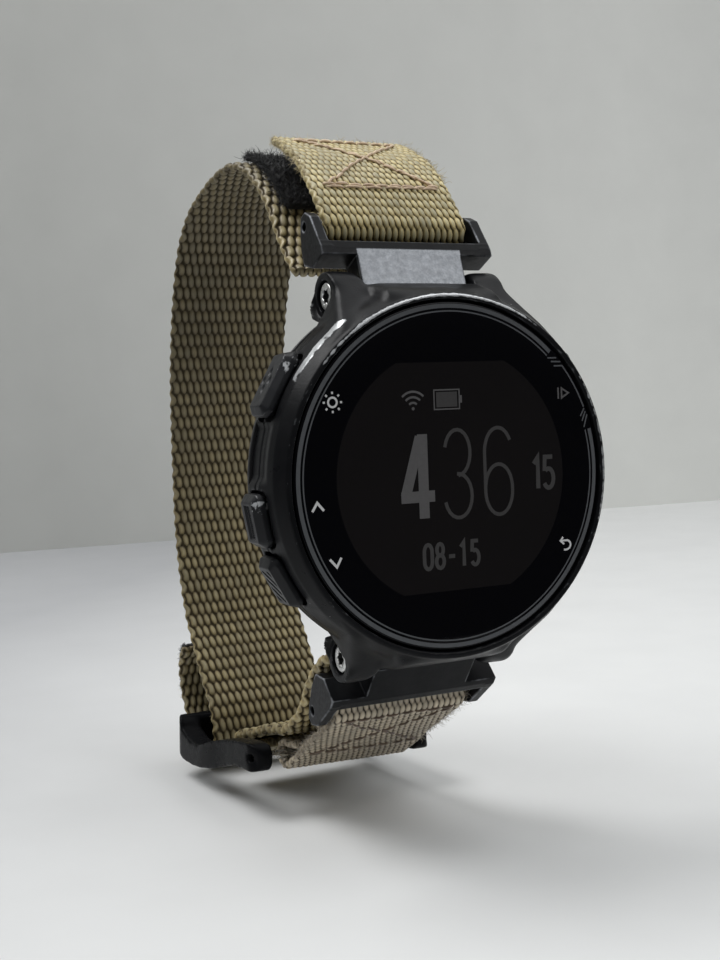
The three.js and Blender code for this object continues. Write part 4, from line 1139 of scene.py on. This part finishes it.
def make_lower_loop():
    """The webbing that goes round the lower bar and the buckle pin, both ends sewn down between them."""
    along = np.array([BUCKLE_PIN[0] - LOW_BAR[0], BUCKLE_PIN[1] - LOW_BAR[1]])
    length = np.linalg.norm(along)
    lean = math.atan2(along[1], along[0])
    flat = [(5.5, -0.35), (3.5, 0.2), *eye(0, 72, 262), (3.5, -1.72), (length / 2, -1.62),
            (length - 3.5, -1.72), *eye(length, -82, 108), (length - 3.5, 0.2), (length - 5.5, -0.35)]
    route = [(0.0, LOW_BAR[0] + a * math.cos(lean) - b * math.sin(lean),
              LOW_BAR[1] + a * math.sin(lean) + b * math.cos(lean)) for a, b in flat]
    band = track(route, 0.15, side=-1.0)
    webbing("strap_lower_loop", band, STRAP_HALF, SHADED_KHAKI, "short_strap", ["bar_loop_bottom"], 51, FULL,
            0.24, 0.40, follow_buckle)
    first, last = 11.0, 24.5          # the box stitch, as distances along the band
    lines = [((first, -8.4), (first, 8.6)), ((first, -8.0), (last, 8.4)), ((first, 8.4), (last, -8.0)),
             ((last, -8.6), (last, 8.8))]
    sewn("strap_lower_stitches", band, lines, 0.54, SHADED_STITCH, "short_strap", 2.1, 0.19, 52, follow_buckle)
    for side, seed in ((-1, 53), (1, 55)):
        edge = sorted((side * 9.5, side * 10.1))
        fuzz(f"strap_lower_fuzz_{seed}", band, ((9, 26), edge, (-0.5, 0.5)), 300, (side, -0.15, -0.1), 1.0,
             SHADED_FUZZ, "short_strap", seed, 0.032, 0.6, follow_buckle)


# ---- what stays as packed, hidden in the case ----
def finish_inner_nodes():
    looks = {
        "lens_gasket": RUBBER, "rear_gasket": RUBBER, "display_panel": PANEL, "backlight_plate": FOIL,
        "inner_frame": FRAME_GREY, "main_board": BOARD, "processor_shield": TIN, "gps_antenna": CERAMIC,
        "battery": FOIL, "vibration_motor": STEEL, "beeper": GOLD, "sensor_board": BOARD,
        "lug_pin_top": STEEL, "lug_pin_bottom": STEEL,
    }
    for name in BUTTONS:
        looks[f"button_seal_{name}"] = RUBBER
        looks[f"switch_{name}"] = TIN
    for name, look in looks.items():
        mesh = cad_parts[name].data
        mesh.materials.clear()
        mesh.materials.append(look)


def make_sensor():
    """The pulse sensor window, domed towards the wrist."""
    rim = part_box("sensor_window")[1].x / MM
    profile = [(0, 0), (6.6, 0), (7.1, -0.04), (7.5, -0.2), (7.72, -0.42), (7.75, -1.4), (rim, -1.4),
               (rim, -2.3), (0, -2.3)]
    mesh = closed(mesh_of("sensor_dome", *turned(profile, 128)))
    piece("sensor_dome", mesh, SENSOR_GLASS, "case", ["sensor_window"])


# ---- stage, light and camera ----
def make_stage():
    low = CAD_BOX[0].z / MM - 0.5
    high = 600
    front = -110
    left, right = (-600, 478), (700, 340)
    # painted shade on both sheets: the floor darker towards the back left, the wall darker to the left
    sheets = (
        ("floor", [(left[0], front, low), (right[0], front, low), (*right, low), (*left, low)],
         stage_material("floor_white", (0.43, 0.435, 0.445), (0.755, 0.76, 0.755), (0.6, -0.5, 0), -120, 0)),
        ("wall", [(*left, low), (*right, low), (*right, high), (*left, high)],
         stage_material("wall_grey", (0.48, 0.485, 0.465), (0.795, 0.80, 0.77), (1, 0, 0), 40, 330)),
    )
    for name, corners, look in sheets:
        made = placed(name, mesh_of(name, corners, [(0, 1, 2, 3)]))
        made.data.materials.append(look)


def area_light(name, place, aim, size, power):
    """A square light of a size in millimetres, turned towards a point."""
    data = bpy.data.lights.new(name, "AREA")
    data.size = size * MM
    data.energy = power
    lamp = placed(name, data)
    lamp.location = Vector(place) * MM
    lamp.rotation_mode = "QUATERNION"
    lamp.rotation_quaternion = (Vector(aim) - Vector(place)).to_track_quat("-Z", "Y")


def make_lights():
    area_light("lamp", (-215, 150, 400), (0, 10, 0), 260, 1.42)
    area_light("ceiling", (220, 40, 820), (120, 60, 0), 1100, 3.3)
    area_light("front", (260, -450, 300), (0, 0, 10), 260, 0.7)
    world = bpy.data.worlds.new("room")
    world.use_nodes = True
    tree = world.node_tree
    upward = node(tree, "SeparateXYZ", None, _0=node(tree, "TexCoord").outputs["Generated"]).outputs[2]
    level = ramped(tree, upward, 0.0, 0.9, 0.06, 0.55)
    background = tree.nodes["Background"]
    background.inputs["Color"].default_value = (0.95, 0.98, 1.0, 1)
    tree.links.new(level, background.inputs["Strength"])
    bpy.context.scene.world = world
    bpy.context.scene.view_settings.view_transform = "Standard"


def make_camera():
    data = bpy.data.cameras.new("camera")
    data.sensor_width = 36
    data.lens = CAMERA_LENS
    data.clip_start, data.clip_end = 0.01, 10
    camera = placed("camera", data)
    ahead = Vector(CAMERA_AHEAD).normalized()
    right = ahead.cross(Vector(CAMERA_UP)).normalized()
    turn = Matrix((right, right.cross(ahead), -ahead)).transposed().to_4x4()
    camera.matrix_world = Matrix.Translation(Vector(CAMERA_PLACE) * MM) @ turn
    bpy.context.scene.camera = camera


make_camera()
make_case()
make_lens()
make_numerals()
make_icons()
make_rings()
make_buttons()
make_fasteners()
make_adapters()
make_buckle()
make_long_strap()
make_fold()
make_hook_tapes()
make_short_strap()
make_lower_loop()
make_sensor()
finish_inner_nodes()
make_stage()
make_lights()
